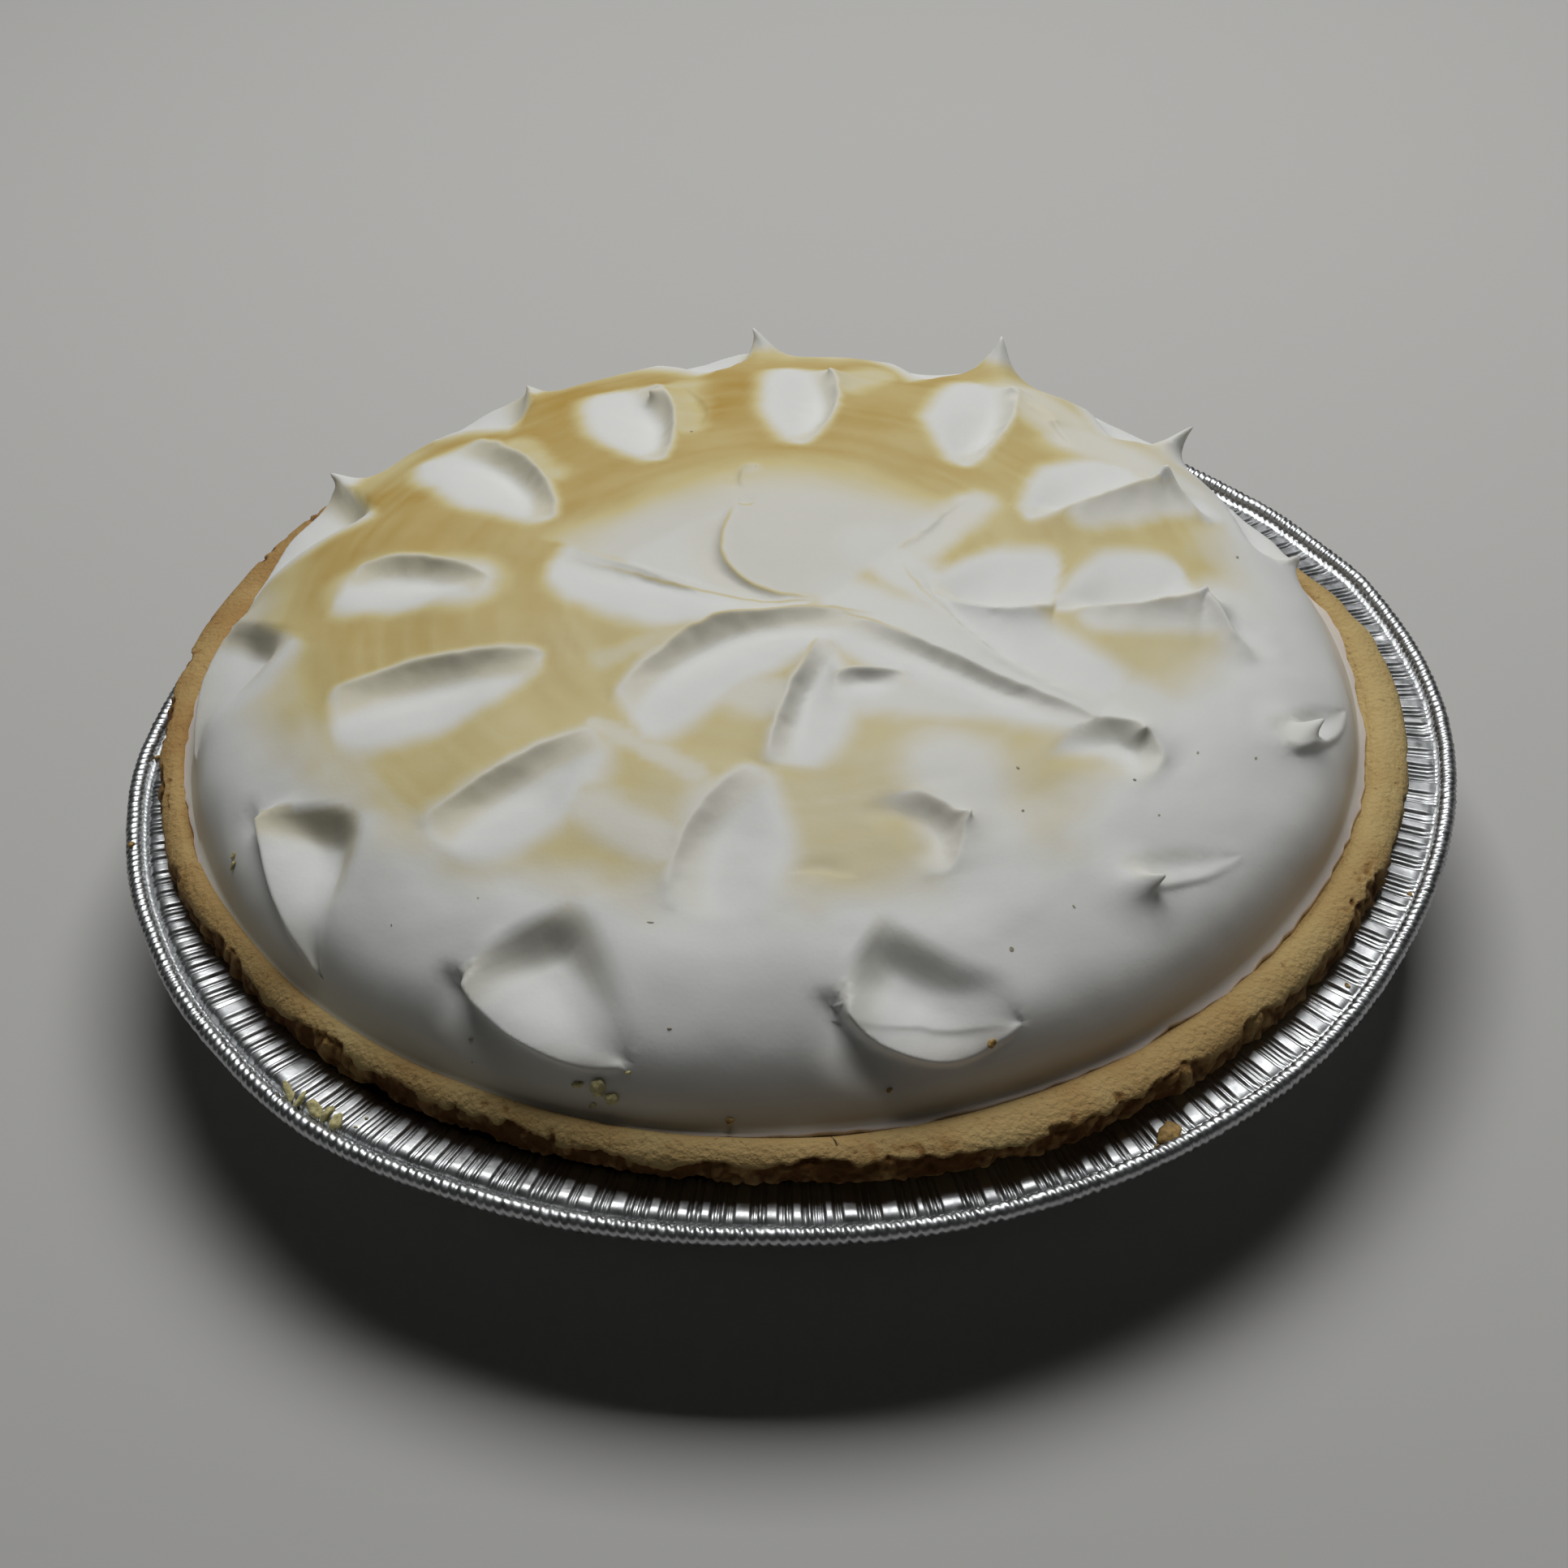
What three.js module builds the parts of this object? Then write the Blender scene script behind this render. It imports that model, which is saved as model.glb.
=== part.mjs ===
// Key lime meringue pie, whole, in its own foil tin.
// Millimetres, +Z up. The origin is on the table under the middle of the tin.
// Azimuths are degrees seen from above, counter-clockwise from +X.

import * as THREE from 'three';
import { mergeVertices } from 'three/addons/utils/BufferGeometryUtils.js';

// Foil tin
const RIM_RADIUS = 114.5; // over the rolled bead of a nominal 9 inch tin
const RIM_HEIGHT = 28; // middle of the bead above the table
const BEAD_RADIUS = 1;
const LEDGE_WIDTH = 1.3; // flat strip just inside the bead
const BRIM_RADIUS = 103; // where the sloping side turns out into the brim
const BRIM_DROP = 1; // brim's inner edge below the ledge
const BRIM_CROWN = 0.35; // middle of the brim above the ledge
const FLOOR_RADIUS = 85;
const FOIL_THICKNESS = 0.4;
const FLUTE_COUNT = 80;
const FLUTE_DEPTH = 0.9;

// Pastry crust
const PIE_SHIFT = -1.5; // the pie lies a little off the tin's middle, along X
const CRUST_CLEARANCE = 3.2; // the baked side has shrunk this far from the foil
const CRUST_FLOOR = FOIL_THICKNESS + 0.4;
const CRUST_RADIUS = 107.3; // mean outer edge of the rim, over the tin's brim
const CRUST_EDGE_HEIGHT = 2.6; // broken lower edge above the tin's rim plane
const CRUST_TOP_HEIGHT = 7.9; // rounded top above the tin's rim plane
const CRUST_SECTORS = 110;
const CRUST_CRUMBLE = 0.75; // how far the broken edge wanders
const CRUST_NOTCH_DEPTH = 1.8;
const CRUST_NOTCH_WIDTH = 1.8; // degrees
const CRUST_NOTCHES = [-128, -117, -106, -98, -74, -62, -51, -42, -31, -22, 12, 40, 72, 105, 133, 160, 195];
const CRUST_WIDEN_FROM = 100.7; // from this radius outwards the rim follows the reach below
const CRUST_WIDEN_TO = 106.7;
// Reach of the uneven rim from the tin's middle: azimuth, radius.
const CRUST_REACH = [
  [-165, 107.6], [-145, 105.6], [-120, 105.2], [-97, 106.4], [-72, 109], [-45, 107.3], [-20, 107.2],
  [-4, 107], [6, 106.6], [11, 105.5], [19, 104], [27, 102.2], [40, 101.4], [70, 102], [100, 106.5],
  [140, 110.6], [163, 109.8],
];

// Meringue
const DOME_RADIUS = 100.15;
const DOME_BASE = RIM_HEIGHT + 7.35;
// Slope of the plain dome in degrees at each arc from its apex.
const DOME_SLOPES = [
  [0, 0], [40, 6], [70, 10], [80, 14], [86, 23], [92, 38], [98, 53], [104, 61], [115, 64],
];
const ARC_STEP = 0.05;
const BED_DEPTH = 1.6; // meringue sunk inside the crust's inner edge
const TOUCH_GAP = 0.4; // clear space between meringue and crust
const MERINGUE_SECTORS = 112;
const MERINGUE_RINGS = 34;
const EDGE_FADE = 5; // strokes die out over this much of the dome's foot
const SNAP_REACH = 0.6; // share of the grid's spacing that a point may move to a lip

// Strokes of the spoon on the dome unrolled from its apex, as x and y from the apex.
// A lip runs from a start to an end and bows to the right of that line. Its hollow lies on the left of it.
// Each row: start, end, bow, width, width of the wall under the lip, depth,
// the lip's rise at its start and at its end, spread of its outer side.
const WALL_STROKES = [
  [[11, -7.5], [-36, 12.5], -3.7, 12, 1.2, 0.7, 0.5, 0.8, 6],
  [[19.5, -11.5], [-26.5, -28.5], 10.4, 16, 4.5, 3, 0.6, 0.8, 4.5],
  [[57, -39.5], [9, -7.5], -0.3, 9.5, 3.4, 2, 1, 0.6, 2.4],
  [[23, -26], [9, -26.5], 1, 7, 2.4, 1.5, 0.4, 0.9, 3],
  [[8.5, -16.5], [-2, -46], 0.8, 14, 3.5, 1.9, 1.6, 0.8, 2.4],
  [[22.5, 5], [53, -34.5], 5.3, 12, 2, 1.1, 0.8, 0.8, 3],
  [[26, -3], [48, -8.5], 4, 17, 3, 2.2, 0.8, 2, 2.4],
  [[36, 24.5], [21.5, 7], -0.4, 13, 1.2, 0.8, 0.8, 0.5, 6],
  [[11, -7], [-4.5, 22], -10, 12, 0.9, 0.8, 0.4, 0.8, 7],
  [[-46, 5], [-72, 17], 4.6, 14, 4.5, 3, 0.6, 0.7, 4.5],
  [[-35.5, -15.5], [-74, -18.5], 3.2, 17, 6.5, 3.6, 0.6, 0.7, 4.5],
  [[-27.5, -34], [-56, -52], 2, 15.5, 6.5, 3.6, 0.6, 0.7, 4.5],
  [[-3, -44.5], [-17, -73], 4, 16, 6.5, 2.2, 0.6, 0.6, 4],
  [[28.5, -57.5], [19, -51], 0, 11, 6, 0.8, 0.7, 0.2, 6],
  [[25, -71], [28.5, -57.5], 0.6, 12, 7, 2, 0.4, 2, 6],
  [[58, -36.5], [46, -35.5], 0, 7, 3, 0.6, 1.8, 0.4, 5],
  [[61.5, -49], [58.5, -36], 1.4, 12, 7, 3.2, 0.4, 2.8, 5],
  [[46.5, -9.5], [75, -4], 0.9, 15, 3.5, 2.4, 0.6, 4.2, 4.6],
  [[74, -4], [81, -18], 0, 8, 3, 1.2, 3.4, 0.3, 4],
  [[45, 16], [74.5, 36], 3.7, 15, 3.5, 2.6, 0.6, 4.8, 4.8],
  [[73, 35.5], [79.5, 24], 0, 6, 3, 1.2, 3.6, 0.3, 4],
  [[35.5, 32], [49.5, 68], 2.6, 14.5, 3.5, 3, 0.4, 1.2, 3],
  [[7, 41], [14, 76], 3.8, 13.5, 3.5, 3, 0.4, 1.2, 3],
  [[-17.5, 38.5], [-20, 74.5], 3.1, 15.5, 3.5, 3.2, 0.4, 1.4, 2.6],
  [[-36.5, 21.5], [-54, 60], 5.2, 16.5, 4, 3.4, 0.6, 1, 3.4],
];
const WALL_SOFTENING = 4; // the wall is this much wider where a stroke runs out

// Shelf strokes round the edge: start, tail, bow, width, slant of the wall at the start, depth, lip's rise.
const SHELF_STROKES = [
  [[-78, 54], [-97, 28], 3, 16, 0.5, 4.4, 1.4],
  [[-100, 20.5], [-104, -14], 2, 22, 0.8, 6.4, 1.4],
  [[-84.5, -39.5], [-76, -71.5], 3, 17, 0.62, 6.2, 1.4],
  [[-48, -78.5], [-24, -97], 5, 18, 0.5, 6.8, 1.6],
  [[8, -88], [35, -92.5], 8.3, 12, 0.4, 6.2, 1.6],
  [[53, -69.5], [72.5, -60.5], 2, 5, 0.2, 0.5, 0.4],
  [[82, -37.5], [97, -22], 2.9, 5, 0.2, 1.2, 0.6],
  [[95.5, 17], [88, 38], 3, 9, 0.3, 2.6, 1.4],
  [[80, 53.5], [66, 74], 4, 14, 0.4, 4.6, 1.4],
  [[46, 78], [27, 95], 5, 15, 0.4, 4.8, 1.4],
  [[1.5, 88], [-21, 96], 5, 15, 0.4, 4.8, 1.4],
  [[-43, 78.5], [-65, 73], 5, 15, 0.4, 4.8, 1.2],
];
const SHELF_DROP = 1.3; // outer face of a shelf's lip
const SHELF_FLOOR = 0.45; // share of a shelf taken by its floor, before the wall behind it
const SHELF_RAMP = 6.5; // a shelf reaches its depth this far from its start

// Tips pulled up where the spoon came away: x, y, height, spread, and how far the tip leans in x and y.
const TIPS = [
  [-77.5, 54, 5, 2.2, -1.6, 0],
  [77.5, 54.5, 6, 1.9, 3.6, 0],
  [46, 77, 6.5, 2.2, -0.8, 0],
  [1.5, 87.5, 4.2, 1.6, -2, 0],
  [-43, 78, 2.6, 1.4, -1.2, 0],
  [74, -4, 2.6, 1.8, 0, 0.6],
  [73, 35, 4.4, 1.8, 0, 0],
  [57.5, -37.5, 2, 2.4, 0.4, -1],
  [28.5, -57.5, 1.4, 1.6, 1.8, 0.6],
  [85, -34, 3.4, 2.2, 3.2, 2],
  [54.5, -69.8, 3.2, 2.2, 3, 0.8],
  [95.5, 18, 2, 1.6, 0, 1.2],
];

const CREAM = { color: 0xe9e2cd, roughness: 0.55, metalness: 0 };
const PASTRY = { color: 0xc79f63, roughness: 0.85, metalness: 0 };
const FOIL = { color: 0xc9cbce, roughness: 0.28, metalness: 1 };

// A seeded draw between 0 and 1, the same on every run.
function seededDraw(seed) {
  let state = seed;
  return () => {
    state = (Math.imul(state, 1664525) + 1013904223) >>> 0;
    return state / 4294967296;
  };
}

function smoothstep(low, high, value) {
  const t = THREE.MathUtils.clamp((value - low) / (high - low), 0, 1);
  return t * t * (3 - 2 * t);
}

// Closed solid of revolution about Z from a profile of [radius, height] that starts and ends on the axis.
function revolve(profile, sectors) {
  const points = profile.map(([radius, height]) => new THREE.Vector2(radius, height));
  const geometry = new THREE.LatheGeometry(points, sectors);
  geometry.rotateX(Math.PI / 2);
  geometry.deleteAttribute('normal');
  geometry.deleteAttribute('uv');
  return geometry;
}

// Moves each vertex of a solid of revolution. The move gets the vertex, its sector and its profile row.
function reshape(geometry, rows, sectors, move) {
  const position = geometry.attributes.position;
  const point = new THREE.Vector3();
  for (let index = 0; index < position.count; index += 1) {
    point.fromBufferAttribute(position, index);
    move(point, Math.floor(index / rows) % sectors, index % rows);
    position.setXYZ(index, point.x, point.y, point.z);
  }
  return geometry;
}

function finish(geometry, name, look) {
  const merged = mergeVertices(geometry, 1e-3);
  merged.computeVertexNormals();
  const mesh = new THREE.Mesh(merged, new THREE.MeshStandardMaterial(look));
  mesh.name = name;
  return mesh;
}

function scaleRadius(point, change) {
  const radius = Math.hypot(point.x, point.y);
  const scale = (radius + change) / radius;
  point.x *= scale;
  point.y *= scale;
}

// Foil tin: flat floor, fluted sloping side and brim, a flat ledge and the rolled bead.
function makeTin() {
  const ledgeOuter = RIM_RADIUS - 2 * BEAD_RADIUS;
  const ledgeInner = ledgeOuter - LEDGE_WIDTH;
  const brimHeight = RIM_HEIGHT - BRIM_DROP;
  const brimMiddle = (BRIM_RADIUS + ledgeInner) / 2;
  const beadMiddle = RIM_RADIUS - BEAD_RADIUS;
  const half = FOIL_THICKNESS / 2;
  const profile = [
    [0, 0],
    [FLOOR_RADIUS, 0],
    [BRIM_RADIUS, brimHeight - half],
    [brimMiddle, RIM_HEIGHT + BRIM_CROWN - half],
    [ledgeInner, RIM_HEIGHT - half],
    [ledgeOuter, RIM_HEIGHT - half],
    [beadMiddle, RIM_HEIGHT - BEAD_RADIUS],
    [RIM_RADIUS, RIM_HEIGHT],
    [beadMiddle, RIM_HEIGHT + BEAD_RADIUS],
    [ledgeOuter, RIM_HEIGHT + half],
    [ledgeInner, RIM_HEIGHT + half],
    [brimMiddle, RIM_HEIGHT + BRIM_CROWN + half],
    [BRIM_RADIUS - half, brimHeight + half],
    [FLOOR_RADIUS - FOIL_THICKNESS, FOIL_THICKNESS],
    [0, FOIL_THICKNESS],
  ];
  const flutedRows = [2, 3, 11, 12];
  const sectors = 2 * FLUTE_COUNT;
  const geometry = revolve(profile, sectors);
  reshape(geometry, profile.length, sectors, (point, sector, row) => {
    if (flutedRows.includes(row)) {
      const side = sector % 2 === 0 ? 1 : -1;
      scaleRadius(point, side * FLUTE_DEPTH / 2);
      point.z -= side * FLUTE_DEPTH / 4;
    }
  });
  return finish(geometry, 'foil_tin', FOIL);
}

// A value at an azimuth, eased between the rows of a table that goes once round.
function around(azimuth, table) {
  const turn = THREE.MathUtils.euclideanModulo(azimuth - table[0][0], 360) + table[0][0];
  const closed = [...table, [table[0][0] + 360, table[0][1]]];
  const upper = closed.findIndex((row) => row[0] > turn);
  const [low, high] = [closed[upper - 1], closed[upper]];
  return low[1] + (high[1] - low[1]) * smoothstep(low[0], high[0], turn);
}

// Pastry case with the unseen inside of the pie, and on top a shallow seat for the meringue.
function makeCrust() {
  const sideFloor = FLOOR_RADIUS - CRUST_CLEARANCE;
  const sideTop = BRIM_RADIUS - CRUST_CLEARANCE;
  const seatHeight = DOME_BASE - BED_DEPTH - TOUCH_GAP;
  const seatRadius = DOME_RADIUS + TOUCH_GAP;
  const edgeHeight = RIM_HEIGHT + CRUST_EDGE_HEIGHT;
  const topHeight = RIM_HEIGHT + CRUST_TOP_HEIGHT;
  const rimWidth = CRUST_RADIUS - seatRadius;
  const profile = [
    [0, CRUST_FLOOR],
    [sideFloor, CRUST_FLOOR],
    [sideTop, RIM_HEIGHT - BRIM_DROP],
    [sideTop + rimWidth * 0.42, edgeHeight - 1.2],
    [CRUST_RADIUS - 0.5, edgeHeight],
    [CRUST_RADIUS, edgeHeight + 2],
    [CRUST_RADIUS - rimWidth * 0.26, topHeight - 0.8],
    [CRUST_RADIUS - rimWidth * 0.6, topHeight],
    [seatRadius, DOME_BASE - 0.3],
    [seatRadius - 0.7, seatHeight],
    [0, seatHeight],
  ];
  const brokenRows = new Map([[4, 1], [5, 0.7], [6, 0.35], [7, 0.2]]);
  const draw = seededDraw(41);
  const wander = Array.from({ length: CRUST_SECTORS }, () => 2 * draw() - 1);
  const drop = Array.from({ length: CRUST_SECTORS }, () => 2 * draw() - 1);
  const geometry = revolve(profile, CRUST_SECTORS);
  reshape(geometry, profile.length, CRUST_SECTORS, (point, sector, row) => {
    const share = brokenRows.get(row) ?? 0;
    const azimuth = THREE.MathUtils.radToDeg(Math.atan2(point.y, point.x));
    const widening = smoothstep(CRUST_WIDEN_FROM, CRUST_WIDEN_TO, Math.hypot(point.x, point.y));
    const notch = CRUST_NOTCHES.reduce((sum, middle) => {
      const turn = THREE.MathUtils.euclideanModulo(azimuth - middle + 180, 360) - 180;
      return sum + Math.exp(-((turn / CRUST_NOTCH_WIDTH) ** 2));
    }, 0);
    if (widening > 0) {
      const broken = share * (CRUST_CRUMBLE * wander[sector] - CRUST_NOTCH_DEPTH * notch * share);
      scaleRadius(point, broken + widening * (around(azimuth, CRUST_REACH) - CRUST_RADIUS));
    }
    point.x += PIE_SHIFT * (1 - widening);
    point.z += share * CRUST_CRUMBLE * drop[sector] * 0.8;
  });
  return finish(geometry, 'crust', PASTRY);
}

// Slope of the plain dome in radians at an arc from its apex.
function domeSlope(arc) {
  const upper = DOME_SLOPES.findIndex((row) => row[0] > arc);
  const [low, high] = [DOME_SLOPES[upper - 1], DOME_SLOPES[upper]];
  const share = (arc - low[0]) / (high[0] - low[0]);
  return THREE.MathUtils.degToRad(low[1] + (high[1] - low[1]) * share);
}

// The dome's outline, looked up by the arc from its apex.
function makeDome() {
  const table = [{ radius: 0, fall: 0 }];
  while (table.at(-1).radius < DOME_RADIUS) {
    const last = table.at(-1);
    const slope = domeSlope(table.length * ARC_STEP);
    table.push({
      radius: last.radius + Math.cos(slope) * ARC_STEP,
      fall: last.fall + Math.sin(slope) * ARC_STEP,
    });
  }
  const total = (table.length - 1) * ARC_STEP;
  const height = table.at(-1).fall;
  const at = (arc) => {
    const place = table[Math.min(Math.round(arc / ARC_STEP), table.length - 1)];
    return { radius: place.radius, height: height - place.fall, slope: domeSlope(Math.min(arc, total)) };
  };
  return { total, at };
}

function onChart(azimuth, arc) {
  const turn = THREE.MathUtils.degToRad(azimuth);
  return new THREE.Vector2(arc * Math.cos(turn), arc * Math.sin(turn));
}

// One stroke of the spoon: the line of its lip, and the sizes of its hollow and lip.
class Stroke {
  constructor(start, end, bow, width, wall, depth, rise, riseEnd, outer) {
    const from = new THREE.Vector2(...start);
    const to = new THREE.Vector2(...end);
    this.middle = from.clone().add(to).multiplyScalar(0.5);
    this.half = from.distanceTo(to) / 2;
    this.along = to.clone().sub(from).normalize();
    this.right = new THREE.Vector2(this.along.y, -this.along.x);
    Object.assign(this, { bow, width, wall, depth, rise, riseEnd, outer });
  }

  // How much of its bow the lip has at a share of its length, from -1 to 1.
  taper(share) {
    return Math.max(1 - share ** 2, 0);
  }

  // A point's share along the stroke, the taper there, its distance from the lip (inside positive)
  // and the way from it to the lip.
  measure(point) {
    const nudge = 0.01;
    const offset = point.clone().sub(this.middle);
    const share = offset.dot(this.along) / this.half;
    const taper = this.taper(share);
    const bend = (this.taper(share + nudge) - this.taper(share - nudge)) / (2 * nudge * this.half);
    const slope = this.bow * bend;
    const signed = (this.bow * taper - offset.dot(this.right)) / Math.hypot(1, slope);
    const toLip = this.right.clone().addScaledVector(this.along, -slope).setLength(signed);
    return { share, taper, signed, toLip };
  }

  // Width of the hollow: pointed at its start and round at its end.
  hollowWidth(share) {
    const kept = THREE.MathUtils.clamp(share, -1, 1);
    return this.width * (kept > 0 ? Math.sqrt(1 - kept ** 4) : 1 - (-kept) ** 1.4);
  }

  // The stroke's rise and hollow at a point.
  effect(point) {
    const { share, taper, signed } = this.measure(point);
    if (Math.abs(share) >= 1) {
      return { rise: 0, hollow: 0 };
    }
    const climb = (share + 1) / 2;
    const lip = (this.rise + (this.riseEnd - this.rise) * climb) * (1 - share ** 4);
    if (signed <= 0) {
      return { rise: lip * Math.exp(signed / this.outer), hollow: 0 };
    }
    const across = Math.min(signed / Math.max(this.hollowWidth(share), 1e-3), 1);
    const wall = this.wall + WALL_SOFTENING * (1 - taper);
    const fallen = Math.max(1 - signed / wall, 0) ** 1.6;
    const bowl = (1 - across) ** 2 * (1 + 2 * across);
    return { rise: lip * fallen, hollow: (1 - fallen) * bowl * this.depth * taper ** 0.9 };
  }
}

// A stroke at the edge: a floor behind a thin lip, and a wall behind the floor that slants at its start.
class Shelf extends Stroke {
  constructor(start, end, bow, width, slant, depth, rise) {
    super(start, end, bow, width, SHELF_RAMP, depth, rise, rise, SHELF_DROP);
    this.slant = slant;
  }

  taper(share) {
    const kept = THREE.MathUtils.clamp(share, -1, 1);
    return kept < 0 ? Math.sqrt(1 - kept ** 2) : 1 - kept ** 2.2;
  }

  effect(point) {
    const { share, taper, signed } = this.measure(point);
    if (Math.abs(share) >= 1) {
      return { rise: 0, hollow: 0 };
    }
    const fade = smoothstep(-1, -0.86, share) * (1 - 0.75 * smoothstep(-0.2, 0.9, share));
    if (signed <= 0) {
      return { rise: this.rise * fade * (1 - smoothstep(0, SHELF_DROP, -signed)), hollow: 0 };
    }
    const slanted = share - this.slant * Math.max(signed - this.bow * taper, 0) / this.half;
    const open = THREE.MathUtils.clamp((slanted + 1) / 2, 0, 1);
    const width = Math.max(this.bow * taper + this.width * (1 - open ** 1.5), 1e-3);
    const across = Math.min(signed / width, 1);
    const upWall = Math.max((across - SHELF_FLOOR) / (1 - SHELF_FLOOR), 0);
    const wall = (1 - upWall) ** 2 * (1 + 2 * upWall);
    const floor = smoothstep(0, 0.6 * SHELF_FLOOR, across);
    const ramp = THREE.MathUtils.clamp(1 - (1 + slanted) * this.half / this.wall, 0, 1);
    const deep = (1 - ramp ** 1.6) * (1 - 0.9 * smoothstep(-0.3, 1, share));
    return {
      rise: this.rise * fade * (1 - smoothstep(0, 0.5, across)),
      hollow: slanted > -1 ? floor * wall * this.depth * deep : 0,
    };
  }
}

// How near a point is to the middle of a tip, as its share of the tip's height.
function tipShare(point, [x, y, , spread]) {
  return Math.exp(-Math.hypot(point.x - x, point.y - y) / spread);
}

// Height of the stroked surface over the plain dome at a point of the unrolled dome.
function strokedHeight(point, strokes) {
  let hollow = 0;
  let rise = 0;
  for (const stroke of strokes) {
    const effect = stroke.effect(point);
    hollow = Math.max(hollow, effect.hollow);
    rise = Math.max(rise, effect.rise);
  }
  const pulled = TIPS.reduce((sum, tip) => sum + tip[2] * tipShare(point, tip), 0);
  return rise + pulled - hollow;
}

// Slow swells of the spread meringue under the strokes.
function swell(point) {
  return 0.7 * Math.sin(point.x / 13 + 0.6) * Math.sin(point.y / 15 - 0.4)
    + 0.4 * Math.sin((point.x + point.y) / 8.5 + 1.1);
}

// Where a lip passes between two grid points the nearer one moves onto it, so that the ridge stays sharp.
// The nearest point to each tip moves onto the tip.
function snapToRidges(points, pairs, strokes) {
  for (const tip of TIPS) {
    const top = new THREE.Vector2(tip[0], tip[1]);
    const nearest = points.reduce((best, p) => (p.distanceTo(top) < best.distanceTo(top) ? p : best));
    nearest.copy(top);
    nearest.held = true;
  }
  for (const stroke of strokes) {
    const measured = new Map(points.map((point) => [point, stroke.measure(point)]));
    for (const pair of pairs) {
      const [first, second] = pair.map((point) => measured.get(point));
      const beside = Math.max(Math.abs(first.share), Math.abs(second.share)) < 1;
      const crossed = beside && first.signed * second.signed <= 0;
      const nearer = Math.abs(first.signed) < Math.abs(second.signed) ? pair[0] : pair[1];
      const { signed, toLip } = measured.get(nearer);
      if (crossed && !nearer.held && Math.abs(signed) < nearer.reach) {
        nearer.add(toLip);
        nearer.held = true;
      }
    }
  }
}

// Joins each four neighbouring points across the corners that are more alike in height.
function joinAlike(geometry, rows, sectors, heightAt) {
  const index = [];
  for (let sector = 0; sector < sectors; sector += 1) {
    for (let row = 0; row < rows - 1; row += 1) {
      const a = row + sector * rows;
      const b = a + rows;
      const c = b + 1;
      const d = a + 1;
      const next = (sector + 1) % sectors;
      const steepAC = Math.abs(heightAt(sector, row) - heightAt(next, row + 1));
      const steepBD = Math.abs(heightAt(next, row) - heightAt(sector, row + 1));
      if (steepAC < steepBD) {
        index.push(a, b, c, a, c, d);
      } else {
        index.push(a, b, d, c, d, b);
      }
    }
  }
  geometry.setIndex(index);
}

// Meringue: a dome of revolution pushed in and out along its normal by every stroke of the spoon.
function makeMeringue() {
  const dome = makeDome();
  const strokes = [
    ...WALL_STROKES.map((sizes) => new Stroke(...sizes)),
    ...SHELF_STROKES.map((sizes) => new Shelf(...sizes)),
  ];
  const ringStep = dome.total / MERINGUE_RINGS;
  const profile = [[0, DOME_BASE - BED_DEPTH], [DOME_RADIUS - 0.7, DOME_BASE - BED_DEPTH]];
  for (let ring = MERINGUE_RINGS; ring >= 0; ring -= 1) {
    const place = dome.at(ringStep * ring);
    profile.push([ring === 0 ? 0 : place.radius, DOME_BASE + place.height]);
  }
  const rows = profile.length;
  const topRow = rows - 1;
  const chart = new Map();
  const keyOf = (sector, row) => (row === topRow ? 'apex' : `${sector % MERINGUE_SECTORS},${row}`);
  for (let sector = 0; sector < MERINGUE_SECTORS; sector += 1) {
    for (let row = 3; row < topRow; row += 1) {
      const arc = ringStep * (topRow - row);
      const point = onChart(sector * 360 / MERINGUE_SECTORS - 90, arc);
      point.reach = SNAP_REACH * Math.min(ringStep, arc * 2 * Math.PI / MERINGUE_SECTORS);
      chart.set(keyOf(sector, row), point);
    }
  }
  chart.set('apex', new THREE.Vector2());
  const pairs = [];
  for (let sector = 0; sector < MERINGUE_SECTORS; sector += 1) {
    for (let row = 3; row < topRow - 1; row += 1) {
      const point = chart.get(keyOf(sector, row));
      pairs.push([point, chart.get(keyOf(sector + 1, row))]);
      pairs.push([point, chart.get(keyOf(sector, row + 1))]);
    }
  }
  snapToRidges([...chart.values()], pairs, strokes);
  const heights = new Map();
  for (const [key, point] of chart) {
    const fade = smoothstep(0, EDGE_FADE, dome.total - point.length());
    heights.set(key, fade * (strokedHeight(point, strokes) + swell(point)));
  }
  const geometry = revolve(profile, MERINGUE_SECTORS);
  joinAlike(geometry, rows, MERINGUE_SECTORS, (sector, row) => heights.get(keyOf(sector, row)) ?? 0);
  reshape(geometry, rows, MERINGUE_SECTORS, (vertex, sector, row) => {
    const key = keyOf(sector, row);
    if (!chart.has(key)) {
      return;
    }
    const point = chart.get(key);
    const place = dome.at(point.length());
    const azimuth = Math.atan2(point.y, point.x);
    const height = heights.get(key);
    const radius = place.radius + Math.sin(place.slope) * height;
    vertex.set(
      radius * Math.cos(azimuth),
      radius * Math.sin(azimuth),
      DOME_BASE + place.height + Math.cos(place.slope) * height,
    );
    for (const tip of TIPS) {
      const share = tipShare(point, tip) ** 2;
      vertex.x += tip[4] * share;
      vertex.y += tip[5] * share;
    }
  });
  return finish(geometry, 'meringue', CREAM);
}

const meringue = makeMeringue();
meringue.position.x = PIE_SHIFT;

const part = new THREE.Group();
part.add(makeTin(), makeCrust(), meringue);

export default part;
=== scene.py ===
"""Key lime meringue pie in its foil tin: the finished look of every surface, in metres."""

import math

import bmesh
import bpy
import numpy as np
from bpy.props import FloatProperty, FloatVectorProperty, IntProperty, PointerProperty
from mathutils import Matrix, Vector
from mathutils.bvhtree import BVHTree


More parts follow.
